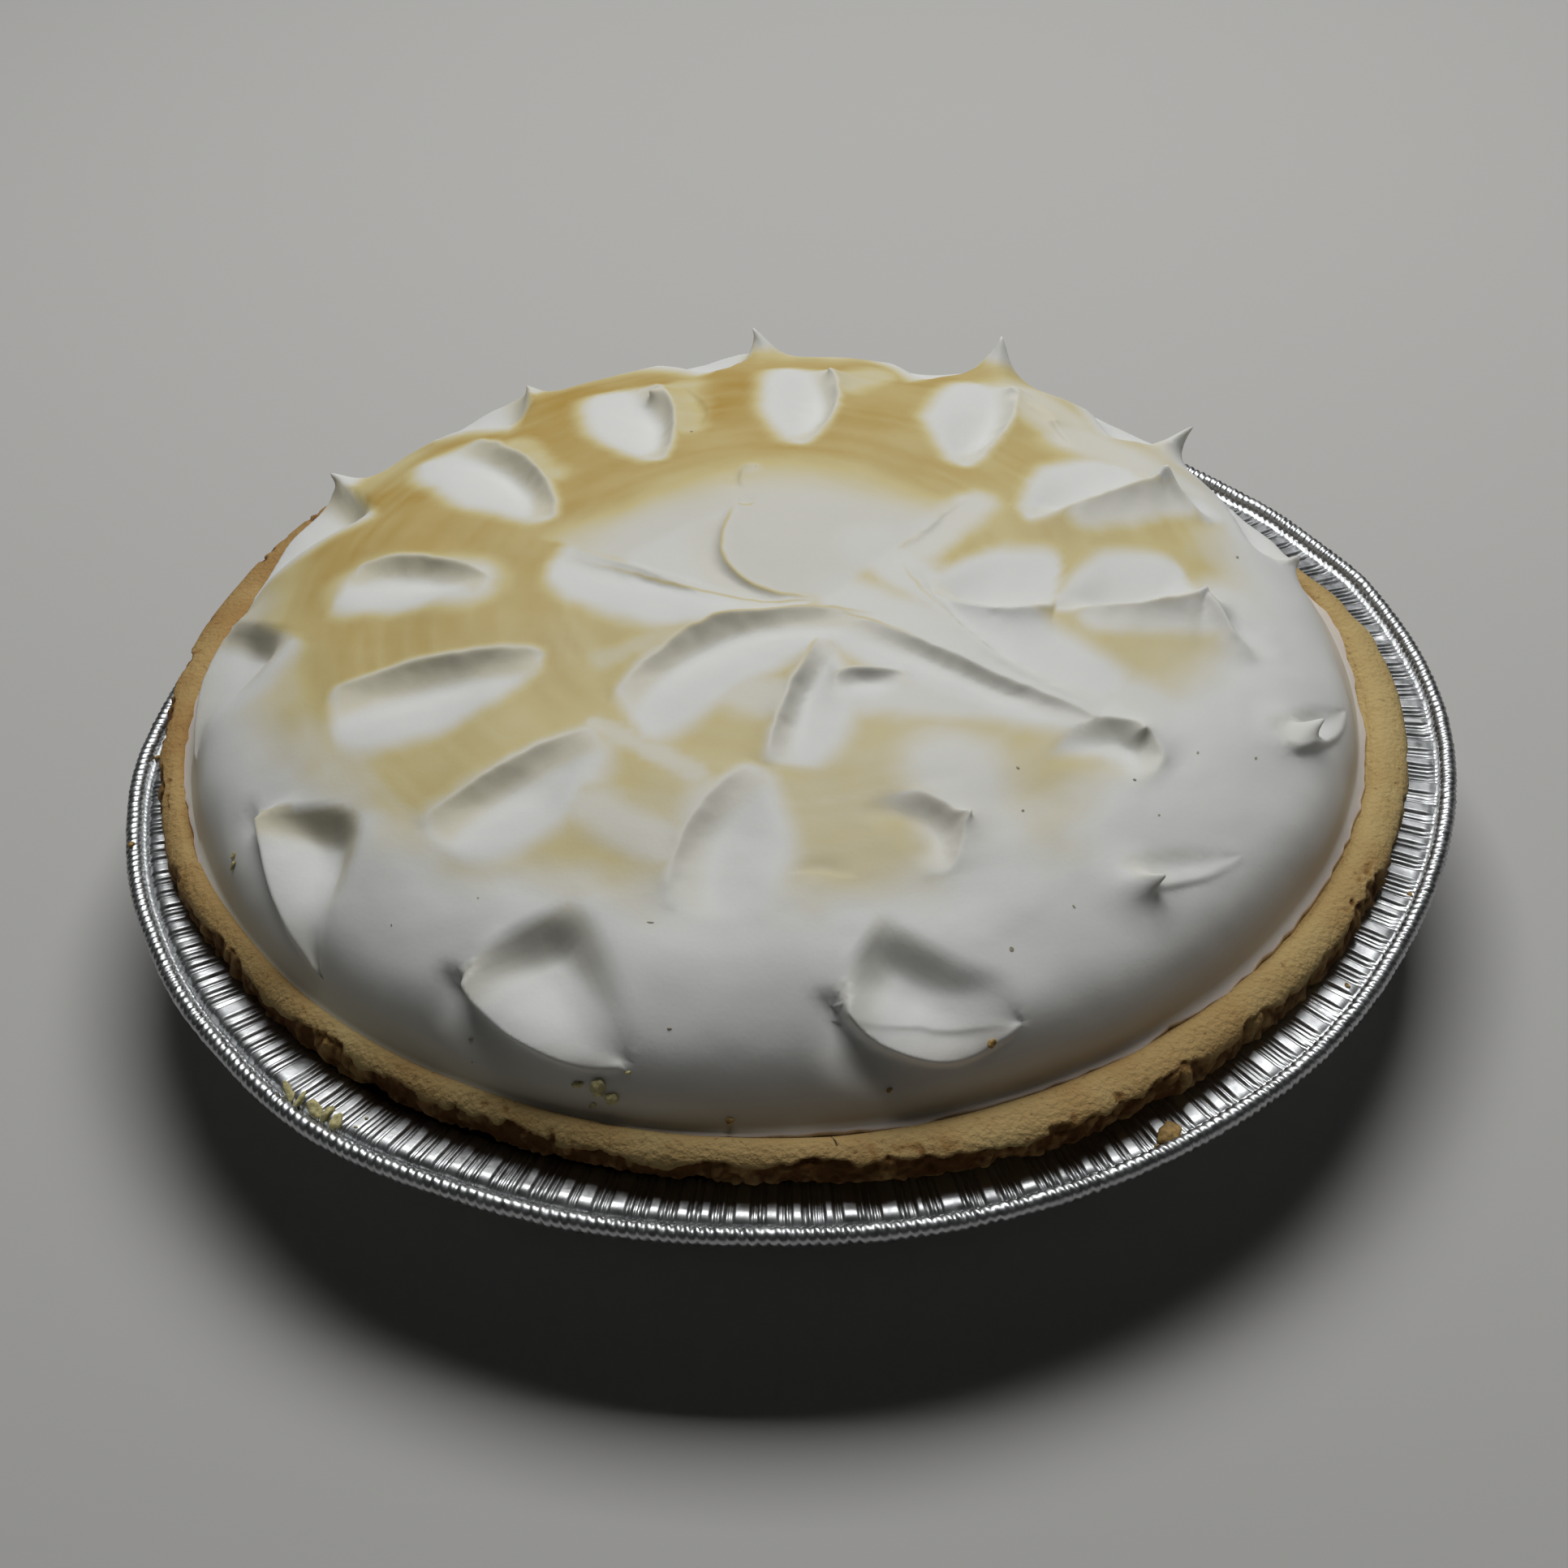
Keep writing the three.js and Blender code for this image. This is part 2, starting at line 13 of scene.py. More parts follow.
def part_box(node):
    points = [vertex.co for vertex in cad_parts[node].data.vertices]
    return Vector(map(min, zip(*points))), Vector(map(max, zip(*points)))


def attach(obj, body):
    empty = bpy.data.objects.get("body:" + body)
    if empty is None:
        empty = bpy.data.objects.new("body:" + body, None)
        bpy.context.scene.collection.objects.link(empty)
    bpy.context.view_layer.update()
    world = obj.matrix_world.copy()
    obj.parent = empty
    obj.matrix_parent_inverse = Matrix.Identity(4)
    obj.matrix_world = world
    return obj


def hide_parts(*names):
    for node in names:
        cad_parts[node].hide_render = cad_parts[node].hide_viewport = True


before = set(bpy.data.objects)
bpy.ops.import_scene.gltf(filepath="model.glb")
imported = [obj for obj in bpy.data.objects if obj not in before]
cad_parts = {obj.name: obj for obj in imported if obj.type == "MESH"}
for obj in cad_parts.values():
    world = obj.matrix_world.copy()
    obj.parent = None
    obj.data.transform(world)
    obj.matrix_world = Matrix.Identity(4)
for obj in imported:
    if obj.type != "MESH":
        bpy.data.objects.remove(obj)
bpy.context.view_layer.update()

bl_info = {
    "name": "Meringue Pie",
    "version": (1, 0, 0),
    "blender": (4, 5, 0),
    "location": "View3D > Sidebar > Meringue Pie",
    "description": "Models a key lime meringue pie in its foil tin on a plain studio floor",
    "category": "Object",
}

MM = 0.001
TIN_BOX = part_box("foil_tin")
SIDE_STEPS = 4  # rows of faces up the side of the tin
PIE_SHIFT = -1.5 * MM  # the pie lies a little off the tin's middle, along X


def linear(code):
    """An sRGB hex colour as linear red, green, blue and full alpha."""
    values = [int(code[i:i + 2], 16) / 255 for i in (1, 3, 5)]
    return tuple(v / 12.92 if v <= 0.04045 else ((v + 0.055) / 1.055) ** 2.4 for v in values) + (1.0,)


def length(name, description, default):
    return FloatProperty(name=name, description=description, default=default, unit="LENGTH", precision=4)


def colour(name, description, code):
    return FloatVectorProperty(
        name=name, description=description, default=linear(code), subtype="COLOR", size=4, min=0, max=1)


class TinSettings(bpy.types.PropertyGroup):
    """Sizes and colour of the foil tin."""
    rim_radius: length("Rim radius", "Outer radius over the rolled bead", TIN_BOX[1][0])
    bead_radius: length("Bead radius", "Radius of the rolled bead's section", 1.5 * MM)
    rim_height: length("Rim height", "Middle of the bead above the table", TIN_BOX[1][2] - 1.0 * MM)
    ledge_width: length("Ledge width", "Flat strip just inside the bead", 0.6 * MM)
    brim_radius: length("Brim radius", "Where the side turns out into the brim", 103 * MM)
    brim_lift: length("Brim lift", "Brim's inner edge above the ledge", 0.4 * MM)
    brim_fall: length("Brim fall", "Brim's outer edge below the ledge", 0.4 * MM)
    floor_radius: length("Floor radius", "Radius of the flat floor", 85 * MM)
    foil: length("Foil", "Thickness of the foil as modelled", 0.3 * MM)
    pleat_depth: length("Pleat depth", "Depth of a crease in the pleated foil", 0.6 * MM)
    knurl_pitch: length("Knurl pitch", "Spacing of the notches round the bead", 1.45 * MM)
    foil_colour: colour("Foil", "Bright rolled aluminium", "#BDBFC0")


class CrustSettings(bpy.types.PropertyGroup):
    """Sizes and colours of the pastry."""
    rim_radius: length("Rim radius", "Mean outer radius of the pastry rim", 107.3 * MM)
    edge_height: length("Edge height", "Broken lower edge above the tin's rim", 2.6 * MM)
    top_height: length("Top height", "Rounded top above the tin's rim", 7.9 * MM)
    crumble: length("Crumble", "How far the broken side wanders", 0.8 * MM)
    pale: colour("Pale pastry", "Flour-pale rounded top", "#C5AD76")
    golden: colour("Golden pastry", "Evenly baked pastry", "#AA8651")
    brown: colour("Brown pastry", "Browned side and broken edge", "#70491F")


class MeringueSettings(bpy.types.PropertyGroup):
    """Sizes and colours of the meringue."""
    dome_radius: length("Dome radius", "Radius of the meringue's foot", 100.15 * MM)
    dome_base: length("Dome base", "Height of the meringue's foot", 35.35 * MM)
    fineness: IntProperty(name="Fineness", description="Subdivisions of the starting ball", default=7)
    white: colour("White", "Fresh meringue in the hollows", "#E6E7E4")
    # Grey-beige: partly the meringue's own cream, partly painted shade that greys the petals where the light
    # falls off at the top.
    cream_and_shade: colour("Cream", "Barely coloured meringue", "#CBC7B8")
    # The pale foot is real, but its colour is whitened past its own as painted light, for the strip that
    # faces up into the light.
    foot: colour("Foot", "Pale edge of the meringue on the crust", "#F0E2D8")
    straw: colour("Straw", "Lightly browned meringue", "#D5C792")
    tan: colour("Tan", "Most browned meringue", "#BA984A")


class CrumbSettings(bpy.types.PropertyGroup):
    """Colours of what has fallen on the pie and its tin."""
    lime: colour("Lime", "Crumb of set lime filling", "#D8CE94")
    pastry: colour("Pastry", "Crumb broken off the crust", "#BC9858")
    speck: colour("Speck", "Baked speck, darker than the meringue", "#B2AC96")


class StageSettings(bpy.types.PropertyGroup):
    """Floor, lights and camera."""
    floor_colour: colour("Floor", "Plain pale floor", "#C4C3C0")
    view_angle: FloatProperty(
        name="View angle", description="Camera's angle of view", default=math.radians(32), subtype="ANGLE")
    roll: FloatProperty(
        name="Roll", description="Camera's turn about its line of sight", default=math.radians(-2.84),
        subtype="ANGLE")
    eye: FloatVectorProperty(
        name="Eye", description="Place of the camera", default=(0, -0.3705, 0.3313), subtype="TRANSLATION")
    aim: FloatVectorProperty(
        name="Aim", description="Point that the camera looks at", default=(-0.0003, -0.0134, 0.028),
        subtype="TRANSLATION")
    key_power: FloatProperty(
        name="Key", description="Power of the overhead softbox", default=5.8, subtype="POWER")
    fill_power: FloatProperty(
        name="Fill", description="Power of the front softbox", default=0.02, subtype="POWER")
    sky: FloatProperty(name="Sky", description="Strength of the even surrounding light", default=0.018)


# Strokes of the spoon, in mm on the dome unrolled from its apex, as x and y from the apex.
# A lip runs from a start to an end and bows to the right of that line. Its hollow lies on the left of it.
# Wall strokes: start, end, bow, width, width of the wall under the lip, depth, lip's rise at the start
# and at the end, spread of its outer side, and the share of the width left white where that isn't all.
WALL_STROKES = (
    ((11, -6.5), (-36, 15), -3.7, 12, 3.0, 0.8, 0.3, 0.5, 6.0),
    ((19.5, -11.5), (-26.5, -28.5), 10.4, 16, 4.5, 3.0, 0.6, 0.8, 4.5),
    ((57, -39.5), (9, -7.5), -0.3, 9.5, 3.4, 2.0, 1.0, 0.6, 2.4),
    ((23, -26), (9, -26.5), 1.0, 7, 2.4, 1.5, 0.4, 0.9, 3.0),
    ((8.5, -16.5), (-2, -46), 0.8, 10, 3.2, 1.9, 1.6, 0.8, 2.4),
    ((22.5, 5), (53, -34.5), 5.3, 12, 2.0, 1.1, 0.8, 0.8, 3.0),
    ((26, -3), (48, -8.5), 4.0, 17, 3.0, 2.2, 0.8, 2.0, 2.4),
    ((11, -7), (-4.5, 22), -10.0, 16, 7.0, 1.2, 0.2, 0.4, 7.0),
    ((-46, 5), (-72, 17), 4.6, 14, 4.5, 3.0, 0.6, 0.7, 4.5),
    ((-35.5, -15.5), (-74, -18.5), 3.2, 17, 6.5, 3.6, 0.6, 0.7, 4.5),
    ((-27.5, -34), (-56, -52), 2.0, 15.5, 6.5, 3.6, 0.6, 0.7, 4.5),
    ((-3, -44.5), (-17, -73), 4.0, 16, 6.5, 2.2, 0.6, 0.6, 4.0),
    ((25, -69), (20, -51.5), 5.6, 11.5, 4.6, 3.0, 0.3, 0.3, 4.0, 0.2),
    ((61, -47), (48.5, -36), 5.0, 15, 4.6, 3.0, 1.2, 0.6, 3.0, 0.5),
    ((46.5, -9.5), (74, -5.5), 0.9, 15, 3.5, 2.4, 0.6, 4.2, 4.6),
    ((73, -5.5), (80, -19), 0.0, 8, 3.0, 1.2, 3.4, 0.3, 4.0),
    ((44, 14.5), (72, 29.5), 0.8, 15, 3.5, 2.6, 0.6, 4.6, 4.6),
    ((71, 29.5), (79, 20), 0.0, 6, 3.0, 1.2, 3.6, 0.3, 4.0),
    ((35.5, 32), (49.5, 68), 2.6, 14.5, 3.5, 3.0, 0.4, 1.2, 3.0),
    ((7, 41), (14, 76), 3.8, 13.5, 3.5, 3.0, 0.4, 1.2, 3.0),
    ((-17.5, 38.5), (-20, 74.5), 3.1, 15.5, 3.5, 3.2, 0.4, 1.4, 2.6),
    ((-36.5, 21.5), (-54, 60), 5.2, 16.5, 4.0, 3.4, 0.6, 1.0, 3.4),
)
# Smears of white left over the browned skin: start, end, half width, whiteness.
SMEARS = (
    ((14, -7), (58, -39), 9, 0.95),
    ((47, -27), (66, -36), 8, 0.9),
    ((8, -30), (42, -33), 6.5, 0.9),
    ((-17, -22), (1, -32), 6.5, 0.75),
    ((28, -47), (32, -70), 10, 0.85),
    ((-9, -55), (-13, -76), 7.5, 0.8),
    ((-68, 11), (-52, 6), 8.5, 0.95),
    ((-49, -52), (-31, -42), 7.5, 0.95),
    ((55, -11), (75, -9.5), 4.6, 0.85),
    ((56, 17), (74, 25), 5, 0.85),
    ((18, 9), (30, -8), 7, 0.95),
    ((23, 6), (36, 20), 5.5, 0.85),
    ((-27, -18), (-14, -13), 3, 0.4),
    ((-28, -34), (-13, -47), 2.4, 0.6),
    ((-29, -52), (-17, -61), 5, 0.7),
    ((78, -4), (87, -20), 9, 0.9),
    ((58, 48), (76, 34), 8, 0.8),
    ((48, 65), (56, 54), 8, 0.7),
    ((16, 68), (22, 74), 6, 0.55),
    ((-14, 53), (-14, 70), 5, 0.5),
    ((-38, 40), (-45, 53), 4, 0.5),
)
# Shelf strokes round the edge: start, tail, bow, width, slant of the wall at the start, depth, lip's rise,
# and how deep the lip is undercut at its start.
SHELF_STROKES = (
    ((-78, 54), (-97, 28), 3.0, 16, 0.5, 4.4, 1.4, 0.0),
    ((-100, 20.5), (-104, -14), 2.0, 22, 0.8, 4.4, 1.2, 0.6),
    ((-83.5, -39.5), (-76, -71.5), 0.8, 17, 0.62, 4.2, 1.4, 1.2),
    ((-48, -78.5), (-24, -97), 5.0, 18, 0.45, 4.6, 1.8, 2.2),
    ((8, -88), (35, -92.5), 8.3, 12, 0.35, 3.8, 1.8, 2.0),
    ((53, -69.5), (72.5, -60.5), 2.0, 5, 0.2, 0.5, 0.4, 0.0),
    ((82, -37.5), (97, -22), 2.9, 5, 0.2, 1.2, 0.6, 0.3),
    ((95.5, 17), (88, 38), 3.0, 9, 0.3, 2.6, 1.4, 0.8),
    ((80, 53.5), (66, 74), 4.0, 14, 0.4, 4.6, 1.4, 0.0),
    ((46, 78), (27, 95), 5.0, 15, 0.4, 4.8, 1.4, 0.0),
    ((1.5, 88), (-21, 96), 5.0, 15, 0.4, 4.8, 1.4, 0.0),
    ((-43, 78.5), (-65, 73), 5.0, 15, 0.4, 4.8, 1.2, 0.0),
)
# Creases that step down inside or beside a stroke: start, end, bow, width, depth.
CREASES = (
    ((36.5, 25), (21.5, 7), -0.4, 9, 0.6),
    ((11, -7), (-4.5, 22.5), -10.0, 9, 1.1),
    ((-4.5, 21), (-1.5, 20.5), 0.2, 4, 0.7),
    ((11, -7.5), (-35, 12), -3.7, 6, 0.3),
    ((-3, 26), (-2, 35), -1.2, 4, 0.9),
    ((35.5, -92.5), (7, -92), -2.0, 7, 0.6),
    ((1, -68.5), (12, -69.5), -0.6, 4.5, 0.5),
    ((55, 56.5), (46, 66.5), 1.1, 4, 0.9),
    ((57.5, 44.5), (53.5, 55), 0.3, 4.5, 0.9),
    ((-11.5, 50), (-16, 72), 4.2, 6, 0.8),
)
# Tips pulled up where the spoon came away: x, y, height, spread, and how far the tip leans in x and y.
TIPS = (
    (-77.5, 54, 5.0, 2.2, -1.6, 0.0),
    (77.5, 54, 6.0, 1.9, 2.2, 0.0),
    (46, 77, 8.0, 2.2, -0.8, 0.0),
    (1.5, 87.5, 6.0, 1.7, -2.2, 0.0),
    (-43, 78, 2.6, 1.4, -1.2, 0.0),
    (73, -5.5, 2.8, 1.8, 0.0, 0.6),
    (71, 29, 4.6, 1.8, 0.0, 0.0),
    (58, -38.5, 1.6, 2.0, 0.0, -1.2),
    (28, -58.5, 1.4, 1.5, 1.6, 0.8),
    (85, -34, 3.4, 2.2, 3.2, 2.0),
    (54.5, -69.8, 3.2, 2.2, 3.0, 0.8),
    (95.5, 18, 2.0, 1.6, 0.0, 1.2),
    (47.5, 65, 1.2, 1.4, 0.0, 0.0),
    (54.5, 53.5, 0.9, 1.4, 0.0, 0.0),
    (14.5, 72, 1.2, 1.5, -1.0, 0.0),
    (-19, 67, 1.6, 1.5, -1.4, 0.0),
    (-2, 33.5, 0.8, 1.5, 0.6, 0.0),
)
WALL_SOFTENING = 4.0  # the wall under a lip is this much wider, in mm, where the stroke runs out
SHELF_DROP = 1.3  # outer face of a shelf stroke's lip
SHELF_FLOOR = 0.64  # share of a shelf stroke taken by its floor, before the wall behind it
SHELF_RAMP = 6.0  # a shelf stroke reaches its depth this far from its start
TUCK_REACH = 2.0  # the undercut below a shelf's lip is deepest this far out
CREST_ROUND = 0.3  # crests are rounded over this many mm
CREASE_REACH = 0.6  # a crease has mostly fallen after this many mm
DOME_SAMPLE = 0.05  # mm between the samples of the dome's outline
# Slope of the plain dome in degrees at each arc in mm from its apex.
DOME_SLOPES = ((0, 0), (40, 6), (70, 10), (80, 14), (86, 23), (92, 38), (98, 53), (104, 61), (110, 64))
# Outer radius of the pastry rim in mm at each azimuth.
CRUST_REACH = (
    (-165, 107.6), (-145, 105.6), (-120, 105.2), (-97, 106.4), (-72, 109), (-45, 107.3), (-20, 107.2),
    (-4, 107), (6, 106.4), (11, 104.6), (19, 101.6), (27, 99.4), (40, 99), (70, 100.6), (100, 106.5),
    (140, 110.6), (163, 109.8),
)
# How far the pastry's lower edge sags towards the tin in mm at each azimuth.
CRUST_SAG = (
    (-160, 2.0), (-130, 1.9), (-118, 1.4), (-105, 0.7), (-92, 0.2), (-72, 0.2), (-60, 1.2), (-45, 1.9),
    (-20, 2.1), (90, 2.0),
)
# How far the meringue's edge is out of round in mm at each azimuth.
MERINGUE_BEND = ((-15, 0), (6, -0.5), (24, -2.0), (36, -1.9), (54, -0.6), (75, 0))
# How far the soft tin is bent out of round in mm at each azimuth.
TIN_BEND = (
    (-175, -0.6), (-160, 0), (-145, 0.8), (-129, 2.1), (-115, 1.1), (-95, 0.6), (-77, 1.4), (-50, 1.3),
    (-31, 0.2), (0, 1.2), (17, 0.7), (28, -1), (40, -2.4), (90, -2.2), (140, -2.4), (165, -2.8),
)
# Places where the pastry's edge is broken deeper: azimuth, half width in degrees, depth in mm.
NOTCHES = (
    (-74.5, 1.1, 2.4), (-64, 2.2, 1.3), (-61, 1.2, 1.6), (-50.5, 1.0, 1.8), (-41.5, 0.8, 1.6),
    (-31, 1.0, 2.0), (-22, 0.8, 1.8), (-128.5, 1.4, 1.4), (-117.5, 1.2, 1.6), (-106.5, 1.6, 1.4),
    (-98.5, 1.0, 1.8), (12, 1.5, 1.4), (40, 1.0, 1.6), (72, 1.8, 1.4), (105, 1.2, 1.8), (133, 1.6, 1.4),
    (160, 1.0, 1.8), (-165, 1.3, 1.4),
)
# Fallen crumbs in mm: x, y, length, width, turn in degrees.
LIME_CRUMBS = (
    (-32.5, -93.5, 2.0, 1.3, 20), (-29.5, -94.5, 2.8, 2.2, 70), (-27.5, -95.5, 2.0, 1.6, 10),
    (-25, -94.5, 0.9, 0.7, 0), (-30.5, -95, 1.2, 0.9, 50), (-78, -80.5, 3.6, 1.4, -45),
    (-76, -82.5, 3.0, 1.8, -40), (-73.5, -84.5, 3.4, 2.0, -50), (-71.5, -86, 2.6, 1.9, -30),
    (-70, -87.5, 2.8, 2.2, -45), (-71, -85, 1.4, 1.0, 20), (-67, -89, 1.0, 0.7, 0),
    (-65.5, -87, 0.8, 0.6, 30), (-88.5, -42.5, 1.5, 1.1, 80), (-88.5, -44, 2.2, 0.9, 85),
)
PASTRY_CRUMBS = (
    (54, -97.5, 4.4, 3.2, 15), (-10.5, -99, 1.2, 0.8, 0), (-110, 2, 2.2, 1.0, 80),
    (-110.5, -22.5, 1.6, 1.0, 60), (13, -97, 0.9, 0.7, 0), (28, -93, 1.4, 1.1, 30),
    (52, -99.5, 0.9, 0.7, 0), (-107.5, 9.5, 1.1, 0.8, 0), (100, -48, 1.0, 0.8, 0),
    (86, -68.5, 1.3, 0.8, 40),
)
SPECKS = (
    (-60.5, -67.5, 0.5, 0.4, 0), (-48.5, -84.5, 0.7, 0.4, 0), (-48.5, -86.5, 0.4, 0.4, 0),
    (36, -47.5, 0.7, 0.4, 90), (54, -49, 0.5, 0.4, 90), (36, -56, 0.4, 0.4, 0), (57, -55.5, 0.5, 0.4, 0),
    (74.5, -40.5, 0.7, 0.5, 0), (42, -73, 0.8, 0.4, 90), (32, -80.5, 0.9, 0.7, 80),
    (79.5, 11, 0.5, 0.4, 0), (-47, -67, 0.4, 0.3, 0), (-21, -74.5, 1.2, 0.3, 10),
    (-18.5, -91, 0.6, 0.4, 0), (65, -41.5, 0.7, 0.5, 0), (-14, 50, 0.6, 0.4, 30),
)
CRUMB_SINK = 0.25  # share of a crumb's thickness that lies below the surface
WEDGE_DOUBLINGS = 5  # a spun shape is made as one of 32 wedges
# Pleats of the foil in mm: flat panels, creases in a group, a crease's half width, spacing in a group.
PANEL_WIDTHS = (1.0, 2.2)
GROUP_SIZES = (2, 6)
CREASE_WIDTHS = (0.28, 0.55)
CREASE_SPACINGS = (0.6, 1.2)
TIN_STEPS = 3200  # faces round the pleated foil
CRUST_STEPS = 1536  # faces round the pastry
BEAD_SIDES = 12  # faces round the bead's section
NOTCH_STEPS = 6  # faces along one notch of the bead
FINE_REACHES = (3.0, 1.6)  # the meringue is made finer twice, this near to a lip in mm
# Rows of the meringue's foot: how far out the first three reach as shares of its flare, how far in the last
# one lies in mm, and the height of each in mm.
FOOT_SPREAD = (0.0, 1.05, 1.25)
FOOT_TURN_IN = 1.0
FOOT_DROP = (0.0, 0.0, -1.0, -1.7)
# Sockets of the Mix node for colours.
FACTOR, FIRST, SECOND, RESULT = 0, 6, 7, 2


def smoothstep(low, high, value):
    """An eased share from 0 at the low value to 1 at the high one."""
    t = np.clip((value - low) / (high - low), 0, 1)
    return t * t * (3 - 2 * t)


def lattice(cells, seed):
    """A repeatable draw between -1 and 1 for whole-number cells, one row of three each."""
    mixed = cells.astype(np.int64) @ np.array([374761393, 668265263, 2147483647]) + seed * 144665
    mixed = (mixed ^ (mixed >> 13)) * 1274126177
    return ((mixed ^ (mixed >> 16)) & 0xFFFFF) / 0x7FFFF - 1.0


def grain(points, size, seed):
    """Smooth noise from -1 to 1 whose lumps are about the given size."""
    scaled = points / size
    low = np.floor(scaled)
    share = scaled - low
    share = share * share * (3 - 2 * share)
    total = np.zeros(len(points))
    for corner in np.ndindex(2, 2, 2):
        weight = np.prod(np.where(corner, share, 1 - share), axis=1)
        total += weight * lattice(low + corner, seed)
    return total


def read_points(mesh):
    points = np.empty(len(mesh.vertices) * 3)
    mesh.vertices.foreach_get("co", points)
    return points.reshape(-1, 3)


def write_points(mesh, points):
    mesh.vertices.foreach_set("co", points.ravel())
    mesh.update()


def write_values(mesh, name, values):
    layer = mesh.attributes.new(name, "FLOAT", "POINT")
    layer.data.foreach_set("value", np.asarray(values, dtype=np.float32))


def new_piece(name, bm, node=None):
    """A smooth-shaded piece that rides on the body, and stands for a solid where it has one."""
    mesh = bpy.data.meshes.new(name)
    bm.to_mesh(mesh)
    bm.free()
    mesh.shade_smooth()
    piece = bpy.data.objects.new(name, mesh)
    bpy.context.scene.collection.objects.link(piece)
    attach(piece, "root")
    if node:
        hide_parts(node)
    return piece


def spun(profile, steps):
    """A profile of (radius, height) turned once round Z: a wedge is spun, then doubled until it closes."""
    wedges = 2 ** WEDGE_DOUBLINGS
    wedge = 2 * math.pi / wedges
    bm = bmesh.new()
    verts = [bm.verts.new((radius, 0, height)) for radius, height in profile]
    edges = [bm.edges.new(pair) for pair in zip(verts, verts[1:])]
    bmesh.ops.spin(
        bm, geom=verts + edges, cent=(0, 0, 0), axis=(0, 0, 1), angle=wedge, steps=steps // wedges)
    for doubling in range(WEDGE_DOUBLINGS):
        copied = bmesh.ops.duplicate(bm, geom=bm.verts[:] + bm.edges[:] + bm.faces[:])["geom"]
        turned = [item for item in copied if isinstance(item, bmesh.types.BMVert)]
        turn = Matrix.Rotation(wedge * 2 ** doubling, 3, "Z")
        bmesh.ops.rotate(bm, verts=turned, cent=(0, 0, 0), matrix=turn)
    bmesh.ops.remove_doubles(bm, verts=bm.verts, dist=2e-6)
    bmesh.ops.recalc_face_normals(bm, faces=bm.faces)
    return bm


def add_node(tree, kind, inputs=None, **settings):
    """Adds a shader node, sets its options, and sets or links its inputs."""
    made = tree.nodes.new(kind)
    for name, value in settings.items():
        setattr(made, name, value)
    for socket, value in (inputs or {}).items():
        if isinstance(value, bpy.types.NodeSocket):
            tree.links.new(value, made.inputs[socket])
        else:
            made.inputs[socket].default_value = value
    return made


def new_material(name):
    """A material with an empty node tree and its output node."""
    material = bpy.data.materials.new(name)
    material.use_nodes = True
    tree = material.node_tree
    tree.nodes.clear()
    return material, tree, add_node(tree, "ShaderNodeOutputMaterial")


def foil_material(settings):
    """Bright rolled aluminium foil: sharp mirror streaks on the pleats, softened by a fine crinkle."""
    material, tree, output = new_material("rolled_aluminium_foil")
    place = add_node(tree, "ShaderNodeTexCoord").outputs["Object"]
    crinkle = add_node(tree, "ShaderNodeTexNoise", {
        "Vector": place, "Scale": 1 / (1.6 * MM), "Detail": 4.0}).outputs["Fac"]
    shine = add_node(tree, "ShaderNodeMapRange", {
        "Value": crinkle, "From Min": 0.3, "From Max": 0.7, "To Min": 0.3, "To Max": 0.48})
    bump = add_node(tree, "ShaderNodeBump", {"Height": crinkle, "Strength": 0.35, "Distance": 0.12 * MM})
    surface = add_node(tree, "ShaderNodeBsdfPrincipled", {
        "Base Color": tuple(settings.foil_colour), "Metallic": 1.0, "Roughness": shine.outputs[0],
        "Normal": bump.outputs[0]})
    tree.links.new(surface.outputs[0], output.inputs[0])
    return material


def pastry_material(settings):
    """Baked shortcrust: dry and matt, pale on the rounded top, browner and crumbly down the broken edge,
    with painted shade in its pits and cracks.
    """
    material, tree, output = new_material("baked_shortcrust_pastry")
    place = add_node(tree, "ShaderNodeTexCoord").outputs["Object"]
    bake_and_shade = add_node(tree, "ShaderNodeAttribute", attribute_name="bake_and_shade").outputs["Fac"]
    blotch = add_node(tree, "ShaderNodeTexNoise", {"Vector": place, "Scale": 1 / (9 * MM), "Detail": 5.0})
    speckle = add_node(tree, "ShaderNodeTexNoise", {"Vector": place, "Scale": 1 / (1.3 * MM), "Detail": 6.0})
    lean = add_node(
        tree, "ShaderNodeMath", {0: blotch.outputs["Fac"], 1: 0.5, 2: -0.25}, operation="MULTIPLY_ADD")
    amount = add_node(tree, "ShaderNodeMath", {0: bake_and_shade, 1: lean.outputs[0]}, operation="ADD").outputs[0]
    shade = tuple(settings.pale)
    for low, high, darker in ((0.0, 0.5, settings.golden), (0.5, 1.05, settings.brown)):
        share = add_node(tree, "ShaderNodeMapRange", {"Value": amount, "From Min": low, "From Max": high})
        shade = add_node(tree, "ShaderNodeMix", {
            FACTOR: share.outputs[0], FIRST: shade, SECOND: tuple(darker)}, data_type="RGBA").outputs[RESULT]
    fleck = add_node(tree, "ShaderNodeMapRange", {
        "Value": speckle.outputs["Fac"], "From Min": 0.62, "From Max": 0.74, "To Max": 0.55})
    flecked = add_node(tree, "ShaderNodeMix", {
        FACTOR: fleck.outputs[0], FIRST: shade, SECOND: tuple(settings.brown)}, data_type="RGBA")
    crumb = add_node(tree, "ShaderNodeTexNoise", {"Vector": place, "Scale": 1 / (0.9 * MM), "Detail": 8.0})
    bump = add_node(tree, "ShaderNodeBump", {
        "Height": crumb.outputs["Fac"], "Strength": 0.8, "Distance": 0.6 * MM})
    surface = add_node(tree, "ShaderNodeBsdfPrincipled", {
        "Base Color": flecked.outputs[RESULT], "Roughness": 0.78, "IOR": 1.45, "Specular IOR Level": 0.3,
        "Normal": bump.outputs[0]})
    tree.links.new(surface.outputs[0], output.inputs[0])
    return material


